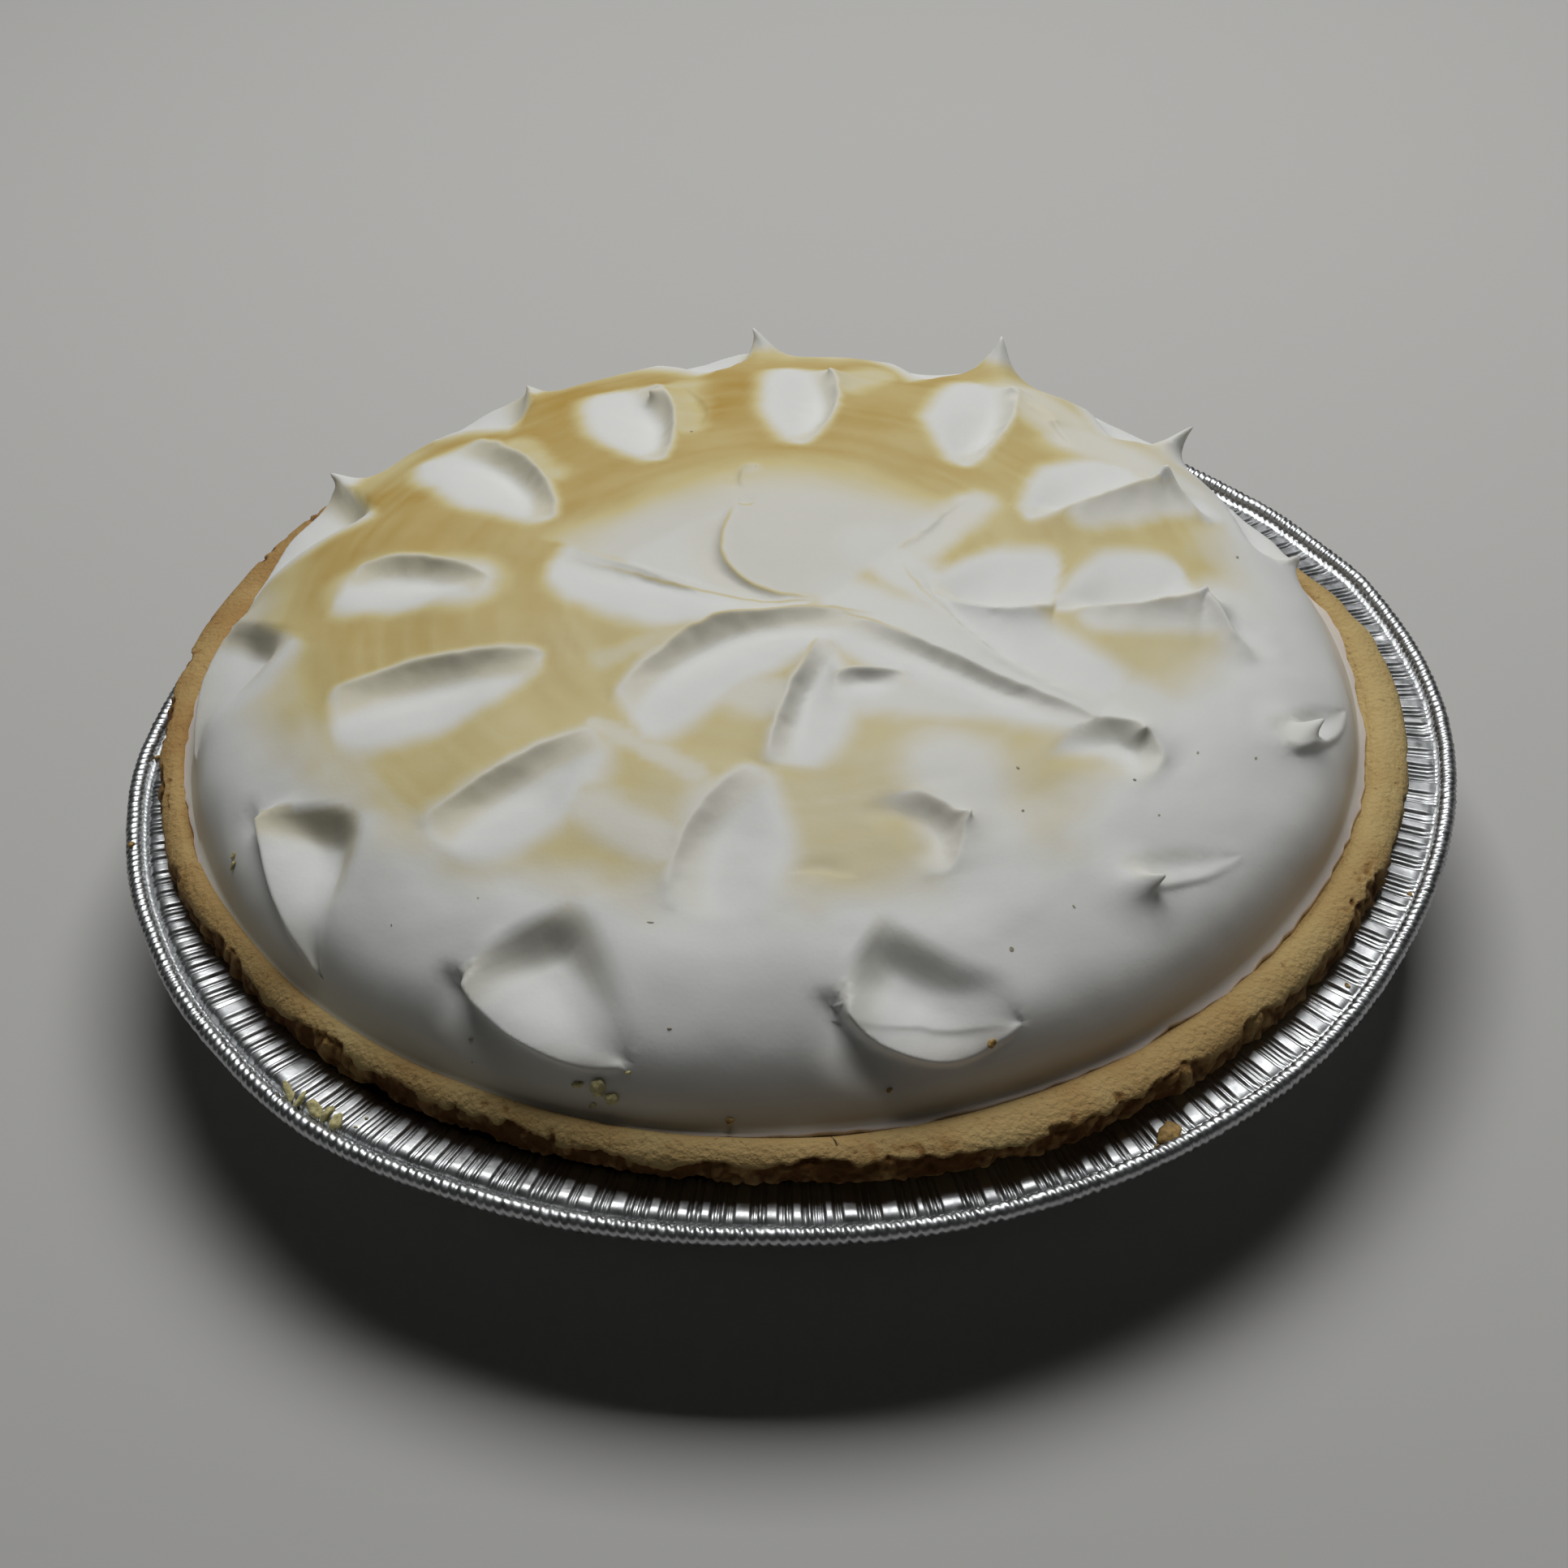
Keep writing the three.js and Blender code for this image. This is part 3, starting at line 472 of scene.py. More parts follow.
def meringue_material(settings):
    """Soft egg-white foam after baking: satin, a little see-through, white in the strokes and tan elsewhere,
    with painted shade and painted bounce light in its colour.
    """
    material, tree, output = new_material("baked_meringue_foam")
    place = add_node(tree, "ShaderNodeTexCoord").outputs["Object"]
    browned_and_shade, cream_and_shade, foot = [
        add_node(tree, "ShaderNodeAttribute", attribute_name=name).outputs["Fac"]
        for name in ("browned_and_shade", "cream_and_shade", "foot")]
    cloud = add_node(tree, "ShaderNodeTexNoise", {"Vector": place, "Scale": 1 / (14 * MM), "Detail": 4.0})
    uneven = add_node(tree, "ShaderNodeMapRange", {
        "Value": cloud.outputs["Fac"], "From Min": 0.3, "From Max": 0.7, "To Min": 0.9, "To Max": 1.1})
    amount = add_node(tree, "ShaderNodeMath", {0: browned_and_shade, 1: uneven.outputs[0]}, operation="MULTIPLY")
    light, dark = [
        add_node(tree, "ShaderNodeMapRange", {
            "Value": amount.outputs[0], "From Min": low, "From Max": high}).outputs[0]
        for low, high in ((0.0, 0.5), (0.5, 1.0))]
    # The cream layer is partly painted shade, the foot layer is whitened as painted light, and the browned
    # layer also carries painted shade and bounce light.
    layers = ((cream_and_shade, settings.cream_and_shade), (light, settings.straw), (dark, settings.tan), (foot, settings.foot))
    shade = tuple(settings.white)
    for share, tint in layers:
        shade = add_node(tree, "ShaderNodeMix", {
            FACTOR: share, FIRST: shade, SECOND: tuple(tint)}, data_type="RGBA").outputs[RESULT]
    foam = add_node(tree, "ShaderNodeTexNoise", {"Vector": place, "Scale": 1 / (0.8 * MM), "Detail": 3.0})
    bump = add_node(tree, "ShaderNodeBump", {
        "Height": foam.outputs["Fac"], "Strength": 0.12, "Distance": 0.2 * MM})
    surface = add_node(tree, "ShaderNodeBsdfPrincipled", {
        "Base Color": shade, "Roughness": 0.5, "IOR": 1.4, "Specular IOR Level": 0.35,
        "Subsurface Weight": 0.25, "Subsurface Radius": (1.0, 0.9, 0.75), "Subsurface Scale": 1.5 * MM,
        "Normal": bump.outputs[0]})
    tree.links.new(surface.outputs[0], output.inputs[0])
    return material


def pleat_wave(turn, settings):
    """Height from 0 to 1 of the pleated foil at each azimuth: flat panels between groups of creases."""
    draw = np.random.default_rng(7)
    round_length = 2 * math.pi * settings.brim_radius
    creases, widths = [], []
    place = 0.0
    while place < round_length:
        place += draw.uniform(*PANEL_WIDTHS) * MM
        for crease in range(draw.integers(*GROUP_SIZES)):
            creases.append(place)
            widths.append(draw.uniform(*CREASE_WIDTHS) * MM)
            place += draw.uniform(*CREASE_SPACINGS) * MM
    creases = np.array(creases) * round_length / place
    along = (turn % (2 * math.pi)) * settings.brim_radius
    wave = np.ones(len(turn))
    after = np.searchsorted(creases, along)
    for neighbour in (after - 1, after % len(creases)):
        wave = np.minimum(wave, np.abs(along - creases[neighbour]) / np.array(widths)[neighbour])
    return wave


def tin_bend(points, settings):
    """How far the tin's rim is bent out of round at each point, fading to nothing down the side."""
    radius = np.hypot(points[:, 0], points[:, 1])
    turn = np.degrees(np.arctan2(points[:, 1], points[:, 0]))
    freedom = smoothstep(settings.floor_radius, settings.rim_radius - 4 * MM, radius)
    return freedom * around(turn, TIN_BEND) * MM


def bent(points, settings):
    """Bends the tin's rim out of round."""
    radius = np.hypot(points[:, 0], points[:, 1])
    points[:, :2] *= (1 + tin_bend(points, settings) / np.maximum(radius, 1e-6))[:, None]
    return points


def tin_profile(settings):
    """Upper side of the foil as radius and height, from the middle of the floor out to the ledge."""
    ledge_out = settings.rim_radius - 1.5 * settings.bead_radius
    ledge_in = ledge_out - settings.ledge_width
    groove = ledge_in - 0.4 * MM
    brim_low = settings.rim_height + settings.brim_lift
    top = [(0, settings.foil), (settings.floor_radius - 1.2 * MM, settings.foil)]
    for step in range(SIDE_STEPS + 1):
        share = step / SIDE_STEPS
        radius = settings.floor_radius + (settings.brim_radius - 0.8 * MM - settings.floor_radius) * share
        top.append((radius, 0.9 * MM + (brim_low - 1.7 * MM) * share))
    brim_steps = 7
    for step in range(brim_steps + 1):
        share = step / brim_steps
        radius = settings.brim_radius + (groove - 0.4 * MM - settings.brim_radius) * share
        top.append((radius, brim_low - (settings.brim_lift + settings.brim_fall) * share))
    top.append((groove, settings.rim_height - settings.brim_fall - 0.3 * MM))
    top += [(ledge_in, settings.rim_height), (ledge_out, settings.rim_height)]
    return top


def shape_tin(settings):
    """Foil tin: flat floor, pleated side and brim, and a flat ledge, as one thin closed shell."""
    top = tin_profile(settings)
    groove = top[-3][0]  # radius of the groove inside the ledge
    # The underside follows the upper side in fewer rows.
    kept = top[:3] + top[2 + SIDE_STEPS:-4:2] + top[-4:]
    under = [(radius, max(height - settings.foil, 0)) for radius, height in reversed(kept)]
    piece = new_piece("tin_foil", spun(top + under, TIN_STEPS), "foil_tin")
    points = read_points(piece.data)
    radius = np.hypot(points[:, 0], points[:, 1])
    turn = np.arctan2(points[:, 1], points[:, 0])
    wave = pleat_wave(turn, settings) - 1 + 0.12 * grain(points, 2.5 * MM, 52)
    fade = smoothstep(settings.floor_radius - 1 * MM, settings.floor_radius + 4 * MM, radius)
    fade *= 1 - smoothstep(groove - 0.9 * MM, groove, radius)
    push = settings.pleat_depth * wave * fade
    on_brim = smoothstep(settings.brim_radius - 2 * MM, settings.brim_radius + 1 * MM, radius)
    crumple = 0.12 * MM * grain(points, 7 * MM, 51) * fade
    front_left = smoothstep(0.2, 0.9, np.cos(turn - math.radians(-135)))
    raised = front_left * smoothstep(settings.brim_radius, groove, radius)
    crumple += 1.2 * MM * raised * fade
    scale = 1 - push * (1 - on_brim) / np.maximum(radius, 1e-6)
    points[:, :2] *= scale[:, None]
    points[:, 2] += push * on_brim + crumple
    write_points(piece.data, bent(points, settings))
    return piece


def shape_bead(settings):
    """Rolled bead of the rim, notched all round like a cord."""
    middle = settings.rim_radius - settings.bead_radius
    profile = []
    for side in range(BEAD_SIDES + 1):
        angle = 2 * math.pi * side / BEAD_SIDES
        profile.append((middle + settings.bead_radius * math.cos(angle),
                        settings.rim_height + settings.bead_radius * math.sin(angle)))
    count = round(2 * math.pi * settings.rim_radius / settings.knurl_pitch)
    piece = new_piece("tin_bead", spun(profile, count * NOTCH_STEPS))
    points = read_points(piece.data)
    radius = np.hypot(points[:, 0], points[:, 1])
    turn = np.arctan2(points[:, 1], points[:, 0])
    roll = np.arctan2(points[:, 2] - settings.rim_height, radius - middle)
    notch = np.abs(np.sin(turn * count / 2 + 0.9 * roll + 0.5 * grain(points, 4 * MM, 4)))
    uneven = 0.7 + 0.5 * grain(points, 3 * MM, 3)
    swell = 1 - 0.34 * uneven * (1 - notch) - 0.06 * grain(points, 1.2 * MM, 5)
    new_radius = middle + (radius - middle) * swell
    points[:, 2] = settings.rim_height + (points[:, 2] - settings.rim_height) * swell
    points[:, :2] *= (new_radius / radius)[:, None]
    write_points(piece.data, bent(points, settings))
    return piece


def around(turn, table):
    """A value at each azimuth in degrees, eased between the rows of a table that goes once round."""
    azimuth, value = np.array(table + ((table[0][0] + 360, table[0][1]),), float).T
    turn = (turn - azimuth[0]) % 360 + azimuth[0]
    row = np.clip(np.searchsorted(azimuth, turn, side="right") - 1, 0, len(azimuth) - 2)
    share = smoothstep(0, 1, (turn - azimuth[row]) / (azimuth[row + 1] - azimuth[row]))
    return value[row] + (value[row + 1] - value[row]) * share


class CrustSection:
    """Radii and heights of the pastry's section, worked out from its settings and the tin's."""

    def __init__(self, settings, tin):
        self.rim = settings.rim_radius
        self.edge = tin.rim_height + settings.edge_height
        self.top = tin.rim_height + settings.top_height
        # Half widths of the rounded rim, outside and inside its crown.
        self.crown_out, self.crown_in = 4.1 * MM, 2.9 * MM
        self.crown = self.rim - self.crown_out
        self.bed = self.top - 2.4 * MM
        self.shoulder = self.edge + 1.6 * MM
        # Flat floor of the case, and where its side turns out into the rim.
        self.floor_radius, self.floor_height = 81.5 * MM, 0.9 * MM
        self.case_radius, self.case_fall = 98.8 * MM, 3.4 * MM
        self.case_height = tin.rim_height - self.case_fall
        self.edge_lift = settings.edge_height + self.case_fall

    def profile(self):
        """Radius and height from the middle of the case's floor, round the rim, to the middle of its bed."""
        points = [(0, self.floor_height), (self.floor_radius, self.floor_height)]
        points.append((self.case_radius, self.case_height))
        under_steps = 5
        for step in range(1, under_steps + 1):
            share = step / under_steps
            points.append((self.case_radius + (self.rim - 1.2 * MM - self.case_radius) * share,
                           self.case_height + self.edge_lift * share ** 0.7))
        bulge_steps, bulge_start, bulge_end = 34, -14, 140
        for step in range(bulge_steps + 1):
            angle = math.radians(bulge_start) + math.radians(bulge_end - bulge_start) * step / bulge_steps
            reach = math.copysign(abs(math.cos(angle)) ** 1.05, math.cos(angle))
            lift = math.copysign(abs(math.sin(angle)) ** 0.95, math.sin(angle))
            half = self.crown_out if angle < math.pi / 2 else self.crown_in
            points.append((self.crown + half * reach, self.shoulder + (self.top - self.shoulder) * lift))
        inside = self.crown - self.crown_in
        return points + [(inside, self.bed + 0.6 * MM), (inside - 0.9 * MM, self.bed), (0, self.bed)]


def shape_crust(settings, tin):
    """Pastry case: smooth rounded rim, browner crumbly side, and a broken lower edge over the tin's brim."""
    section = CrustSection(settings, tin)
    crown, edge, top, shoulder = section.crown, section.edge, section.top, section.shoulder
    piece = new_piece("pastry_crust", spun(section.profile(), CRUST_STEPS), "crust")
    points = read_points(piece.data)
    radius = np.hypot(points[:, 0], points[:, 1])
    turn = np.degrees(np.arctan2(points[:, 1], points[:, 0]))
    outer = smoothstep(crown - 0.5 * MM, crown + 2.5 * MM, radius)
    rim_part = smoothstep(crown - 3.2 * MM, crown - 2.2 * MM, radius)
    rim_part *= smoothstep(tin.rim_height - 1.0 * MM, tin.rim_height + 1.0 * MM, points[:, 2])
    slow = grain(points, 30 * MM, 5)
    dents = grain(points, 10 * MM, 21) + 0.5 * grain(points, 4.5 * MM, 22)
    lumps = 0.5 * grain(points, 3.0 * MM, 11) + 0.5 * grain(points, 1.5 * MM, 12)
    lumps += 0.45 * grain(points, 0.8 * MM, 13)
    break_height = shoulder + 1.9 * MM + 1.2 * MM * grain(points, 7 * MM, 15)
    break_height += 0.6 * MM * grain(points, 2 * MM, 16)
    side = (1 - smoothstep(-0.25 * MM, 0.25 * MM, points[:, 2] - break_height)) * outer * rim_part
    bottom = (1 - smoothstep(edge - 0.6 * MM, edge + 0.5 * MM, points[:, 2])) * outer * rim_part
    cracks = (1 - np.abs(grain(points, 2.6 * MM, 18))) ** 6
    cracks += 0.6 * (1 - np.abs(grain(points, 1.3 * MM, 19))) ** 6
    pits = smoothstep(0.35, 0.65, grain(points, 1.7 * MM, 14))
    pits *= smoothstep(-0.3, 0.4, grain(points, 9 * MM, 17))
    pits *= outer * rim_part * (1 - smoothstep(0.2 * MM, 2.4 * MM, points[:, 2] - break_height))
    bites = smoothstep(0.25, 0.7, grain(points, 6.5 * MM, 41))
    reach = around(turn, CRUST_REACH) * MM - section.rim
    inner = crown - np.where(reach < 0, 8, 2.5) * MM
    widening = smoothstep(inner, crown + 3.5 * MM, radius) * (points[:, 2] > tin.rim_height - 2 * MM)
    push = widening * reach + rim_part * 0.16 * MM * dents - 0.7 * MM * pits
    broken = side * (settings.crumble * (lumps - 0.6 * cracks) - 0.4 * MM)
    push += broken + bottom * (1.0 * MM - 1.6 * MM * bites)
    up = rim_part * 0.22 * MM * (slow + 0.5 * dents) + bottom * (0.9 * MM * bites + 0.4 * MM * lumps)
    low = smoothstep(crown - 0.5 * MM, crown + 2 * MM, radius)
    low *= 1 - smoothstep(edge, top - 1 * MM, points[:, 2])
    up -= low * around(turn, CRUST_SAG) * MM
    for azimuth, width, depth in NOTCHES:
        away = (turn - azimuth + 180) % 360 - 180
        notch = np.exp(-(away / width) ** 2) * (0.35 * side + 0.65 * bottom)
        push -= notch * depth * MM
        up += 0.4 * notch * depth * MM
    scale = 1 + push / np.maximum(radius, 1e-6)
    points[:, :2] *= scale[:, None]
    points[:, 2] += up
    points[:, 0] += PIE_SHIFT * (1 - widening)
    bare_radius = np.hypot(points[:, 0], points[:, 1]) - tin_bend(points, tin)
    foil_radius, foil_height = np.array(tin_profile(tin)).T
    points[:, 2] = np.maximum(points[:, 2], np.interp(bare_radius, foil_radius, foil_height) + 0.2 * MM)
    write_points(piece.data, points)
    hidden = 1 - smoothstep(crown - 3.4 * MM, crown - 2.4 * MM, radius)
    hidden *= points[:, 2] > section.bed - 1 * MM
    front = smoothstep(0.3, 0.95, -np.sin(np.radians(turn + 20)))
    left = smoothstep(0.3, 0.95, -np.cos(np.radians(turn + 20)))
    # Pastry tone: browner down the side, paler at the broken lower edge and where the meringue hides it,
    # darker and browner towards the front and the left. Painted shade darkens the pits and cracks, and
    # painted light makes the raised lumps on the side paler.
    bake_and_shade = 0.12 + 0.06 * front + 0.36 * left + 0.16 * slow + 0.16 * dents + 0.8 * pits
    bake_and_shade += side * (0.3 + 0.3 * front - 0.6 * lumps + 0.5 * cracks)
    bake_and_shade = bake_and_shade * (1 - 0.8 * bottom)
    write_values(piece.data, "bake_and_shade", np.clip(bake_and_shade - 0.3 * hidden, 0, 1.2))
    return piece


class Dome:
    """The meringue's plain outline, looked up by the arc from its apex."""

    def __init__(self, settings):
        end = DOME_SLOPES[-1][0]
        arc = np.linspace(0, end, round(end / DOME_SAMPLE) + 1)
        slope = np.radians(np.interp(arc, *np.array(DOME_SLOPES, float).T))
        step = arc[1]
        radius = np.concatenate([[0], np.cumsum(np.cos(slope[1:]) * step)])
        fall = np.concatenate([[0], np.cumsum(np.sin(slope[1:]) * step)])
        inside = radius <= settings.dome_radius / MM
        self.arc, self.radius = arc[inside], radius[inside]
        self.height = fall[inside][-1] - fall[inside]
        self.slope = slope[inside]
        self.total = self.arc[-1]

    def unrolled(self, points):
        """Points in mm of the unrolled dome for points of a ball."""
        steep = np.arccos(np.clip(points[:, 2] / np.linalg.norm(points, axis=1), 0, 1))
        arc = self.total * steep / (math.pi / 2)
        turn = np.arctan2(points[:, 1], points[:, 0])
        return np.stack([arc * np.cos(turn), arc * np.sin(turn)], axis=1)

    def place(self, chart, lift):
        """Points in mm above the foot's middle for points of the unrolled dome lifted along its normal."""
        arc = np.hypot(chart[:, 0], chart[:, 1])
        turn = np.arctan2(chart[:, 1], chart[:, 0])
        slope = np.interp(arc, self.arc, self.slope)
        radius = np.interp(arc, self.arc, self.radius) + lift * np.sin(slope)
        height = np.interp(arc, self.arc, self.height) + lift * np.cos(slope)
        return np.stack([radius * np.cos(turn), radius * np.sin(turn), height], axis=1)


class Stroke:
    """One stroke of the spoon: the line of its lip, and the sizes of its hollow and lip in mm."""

    def __init__(self, start, end, bow, width, wall, depth, rise, rise_end, outer, white=1.0):
        start, end = np.array(start, float), np.array(end, float)
        self.middle = (start + end) / 2
        self.half = np.linalg.norm(end - start) / 2
        self.along = (end - start) / (2 * self.half)
        self.right = np.array([self.along[1], -self.along[0]])
        self.bow, self.width, self.wall, self.depth = bow, width, wall, depth
        self.rise, self.rise_end, self.outer, self.white = rise, rise_end, outer, white

    def taper(self, share):
        """How much of its bow the stroke has at each share of its length, from -1 to 1."""
        return np.clip(1 - share ** 2, 0, 1)

    def fullness(self, share):
        """How much of its width the hollow has at each share: pointed at its start and round at its end."""
        round_end = np.sqrt(np.clip(1 - share ** 4, 0, 1))
        pointed_end = 1 - np.clip(-share, 0, 1) ** 1.4
        return np.where(share > 0, round_end, pointed_end)

    def measure(self, chart):
        """Each point's share along the stroke, its taper there, and how far inside the lip it lies."""
        offset = chart - self.middle
        share = offset @ self.along / self.half
        taper = self.taper(share)
        slope = self.bow * (self.taper(share + 0.01) - self.taper(share - 0.01)) / (0.02 * self.half)
        signed = (self.bow * taper - offset @ self.right) / np.hypot(1, slope)
        return share, taper, signed

    def near(self, chart, reach):
        """Whether each point is this near the lip."""
        share, taper, signed = self.measure(chart)
        return (np.abs(share) < 1.02) & (np.abs(signed) < reach)

    def fresh(self, taper, signed, width):
        """How much of each point is freshly turned white meringue."""
        white = smoothstep(-2.0, 1.0, signed) * (1 - smoothstep(-1.0, 4.5, signed - self.white * width))
        return white * smoothstep(0.0, 0.3, taper)

    def lip(self, share):
        """Height of the lip at each share of its length."""
        height = self.rise + (self.rise_end - self.rise) * (share + 1) / 2
        return height * (1 - np.clip(np.abs(share), 0, 1) ** 4)

    def effect(self, chart):
        """The stroke's rise and hollow in mm, how much of each point is left white, and how much painted
        shade its wall takes.
        """
        share, taper, signed = self.measure(chart)
        width = np.maximum(self.width * self.fullness(share), 1e-3)
        across = np.clip(signed / width, 0, 1)
        inside = signed > 0
        rounded = np.sqrt(signed ** 2 + CREST_ROUND ** 2) - CREST_ROUND
        fallen = np.clip(1 - rounded / (self.wall + WALL_SOFTENING * (1 - taper)), 0, 1) ** 1.6
        bowl = (1 - across) ** 2 * (1 + 2 * across)
        rise = np.where(inside, fallen, np.exp(-rounded / self.outer)) * self.lip(share)
        hollow = np.where(inside, (1 - fallen) * bowl, 0) * self.depth * taper ** 0.9
        wall_shade = np.where(inside, smoothstep(0.0, 0.4, fallen), 0) * smoothstep(0.0, 0.4, taper)
        return rise, hollow, self.fresh(taper, signed, width), wall_shade * min(self.depth / 3, 1)


class Shelf(Stroke):
    """A stroke at the edge: a flat floor behind a thin undercut lip, with a slanting wall at its start."""

    def __init__(self, start, end, bow, width, slant, depth, rise, tuck):
        super().__init__(start, end, bow, width, SHELF_RAMP, depth, rise, rise, SHELF_DROP)
        self.slant, self.tuck = slant, tuck

    def taper(self, share):
        round_end = np.sqrt(np.clip(1 - share ** 2, 0, 1))
        pointed_end = 1 - np.clip(share, 0, 1) ** 2.2
        return np.where(share < 0, round_end, pointed_end)

    def measure(self, chart):
        offset = chart - self.middle
        share = offset @ self.along / self.half
        taper = self.taper(share)
        shares = np.linspace(-1, 1, 61)
        lip = self.half * np.outer(shares, self.along) + self.bow * np.outer(self.taper(shares), self.right)
        close = np.flatnonzero(np.linalg.norm(offset, axis=1) < self.half + 5 * TUCK_REACH)
        nearest = np.full(len(close), np.inf)
        for start, end in zip(lip, lip[1:]):
            line = end - start
            along = np.clip((offset[close] - start) @ line / (line @ line), 0, 1)
            gap = np.linalg.norm(offset[close] - start - along[:, None] * line, axis=1)
            nearest = np.minimum(nearest, gap)
        steep = self.bow * (self.taper(share + 0.02) - self.taper(share - 0.02)) / (0.04 * self.half)
        within = (self.bow * taper - offset @ self.right) / np.hypot(1, np.clip(steep, -1, 1))
        away = np.full(len(chart), 10 * TUCK_REACH)
        away[close] = nearest
        return share, taper, np.where((np.abs(share) < 1) & (within > 0), within, -away)

    def effect(self, chart):
        share, taper, signed = self.measure(chart)
        inside = signed > 0
        inward = np.maximum((self.middle - chart) @ self.right, 0)
        slanted = share - self.slant * inward / self.half
        open_share = np.clip((slanted + 1) / 2, 0, 1)
        width = np.maximum(self.bow * taper + self.width * (1 - open_share ** 1.5), 1e-3)
        across = np.clip(signed / width, 0, 1)
        fade = smoothstep(-1.0, -0.86, share) * (1 - 0.75 * smoothstep(-0.2, 0.9, share))
        fade = fade * (1 - smoothstep(0.9, 1.02, share))
        outside_fall = 1 - smoothstep(0, SHELF_DROP, -signed)
        rise = np.where(inside, 1 - smoothstep(0, 0.5, across), outside_fall) * self.rise * fade
        up_wall = np.clip((across - SHELF_FLOOR) / (1 - SHELF_FLOOR), 0, 1)
        wall = (1 - up_wall) ** 2 * (1 + 2 * up_wall)
        down = np.clip(across / SHELF_FLOOR, 0, 1)
        floor = down * (1.5 - 0.5 * down ** 2)
        deep = 1 - np.clip(1 - (1 + slanted) * self.half / SHELF_RAMP, 0, 1) ** 1.6
        deep = np.where(slanted > -1, deep, 0) * (1 - 0.9 * smoothstep(-0.3, 1, share))
        below = np.maximum(-signed, 0) / TUCK_REACH
        tucked = below * np.exp(1 - below) * (1 - smoothstep(-1, 0.5, share)) * (1 - smoothstep(3, 5, below))
        tucked = tucked * smoothstep(0, 3, (chart - self.middle) @ self.right)
        tucked = tucked * smoothstep(-1.4, -0.95, share)
        hollow = np.where(inside, floor * wall * self.depth * deep, self.tuck * tucked)
        # Painted shade: how much of the wall behind the shelf, and of its start, takes a darker warm tint.
        near_start = 1 - smoothstep(0.6, 1.4, (1 + slanted) * self.half / SHELF_RAMP)
        wall_shade = np.maximum(smoothstep(0, 0.3, up_wall), near_start) * (1 - smoothstep(0.7, 1, up_wall))
        wall_shade = np.where(inside & (slanted > -1), wall_shade, 0) * (1 - smoothstep(-0.2, 0.8, share))
        return rise, hollow, self.fresh(taper, signed, width) * smoothstep(-1.05, -0.85, slanted), wall_shade


class Crease(Stroke):
    """A thin step in the surface that runs out on one side."""

    def __init__(self, start, end, bow, width, depth):
        super().__init__(start, end, bow, width, CREASE_REACH, depth, 0, 0, 1)

    def effect(self, chart):
        share, taper, signed = self.measure(chart)
        rounded = np.sqrt(signed ** 2 + CREST_ROUND ** 2) - CREST_ROUND
        across = np.clip(signed / self.width, 0, 1)
        step = (1 - np.exp(-rounded / self.wall)) * (1 - smoothstep(0, 1, across))
        return 0.0, np.where(signed > 0, step, 0) * self.depth * taper, 0.0, 0.0


WALLS = [Stroke(*sizes) for sizes in WALL_STROKES]
SHELVES = [Shelf(*sizes) for sizes in SHELF_STROKES]
FOLDS = [Crease(*sizes) for sizes in CREASES]


def tip_share(chart, place, spread):
    """How near each point is to the middle of a tip, as its share of the tip's height."""
    away = np.linalg.norm(chart - np.array(place, float), axis=1)
    rounded = np.sqrt(away ** 2 + CREST_ROUND ** 2) - CREST_ROUND
    return np.exp(-rounded / spread) * (1 - smoothstep(2.5 * spread, 4.5 * spread, away))


def meringue_blank(settings, dome):
    """Half a ball, finer along the strokes and at the tips, with rows of faces below it for the foot."""
    bm = bmesh.new()
    bmesh.ops.create_icosphere(bm, subdivisions=settings.fineness, radius=1)
    bmesh.ops.bisect_plane(
        bm, geom=bm.verts[:] + bm.edges[:] + bm.faces[:], dist=1e-6, plane_co=(0, 0, 0), plane_no=(0, 0, 1),
        clear_inner=True)
    for reach in FINE_REACHES:
        bm.verts.ensure_lookup_table()
        chart = dome.unrolled(np.array([vert.co for vert in bm.verts]))
        close = np.zeros(len(chart), dtype=bool)
        for stroke in WALLS + SHELVES + FOLDS:
            close |= stroke.near(chart, reach)
        for tip in TIPS:
            close |= np.linalg.norm(chart - np.array(tip[:2], float), axis=1) < 1.2 * reach
        fine = [edge for edge in bm.edges if close[edge.verts[0].index] and close[edge.verts[1].index]]
        bmesh.ops.subdivide_edges(bm, edges=fine, cuts=1, use_grid_fill=True)
        bmesh.ops.triangulate(bm, faces=bm.faces)
        bm.verts.index_update()
    foot = [edge for edge in bm.edges if edge.is_boundary]
    for row in range(1, len(FOOT_DROP)):
        grown = bmesh.ops.extrude_edge_only(bm, edges=foot)["geom"]
        foot = [item for item in grown if isinstance(item, bmesh.types.BMEdge) and item.is_boundary]
        for vert in {vert for edge in foot for vert in edge.verts}:
            vert.co.z = -row
    bmesh.ops.edgeloop_fill(bm, edges=foot)
    bmesh.ops.triangulate(bm, faces=[face for face in bm.faces if len(face.verts) > 4])
    bmesh.ops.recalc_face_normals(bm, faces=bm.faces)
    return bm


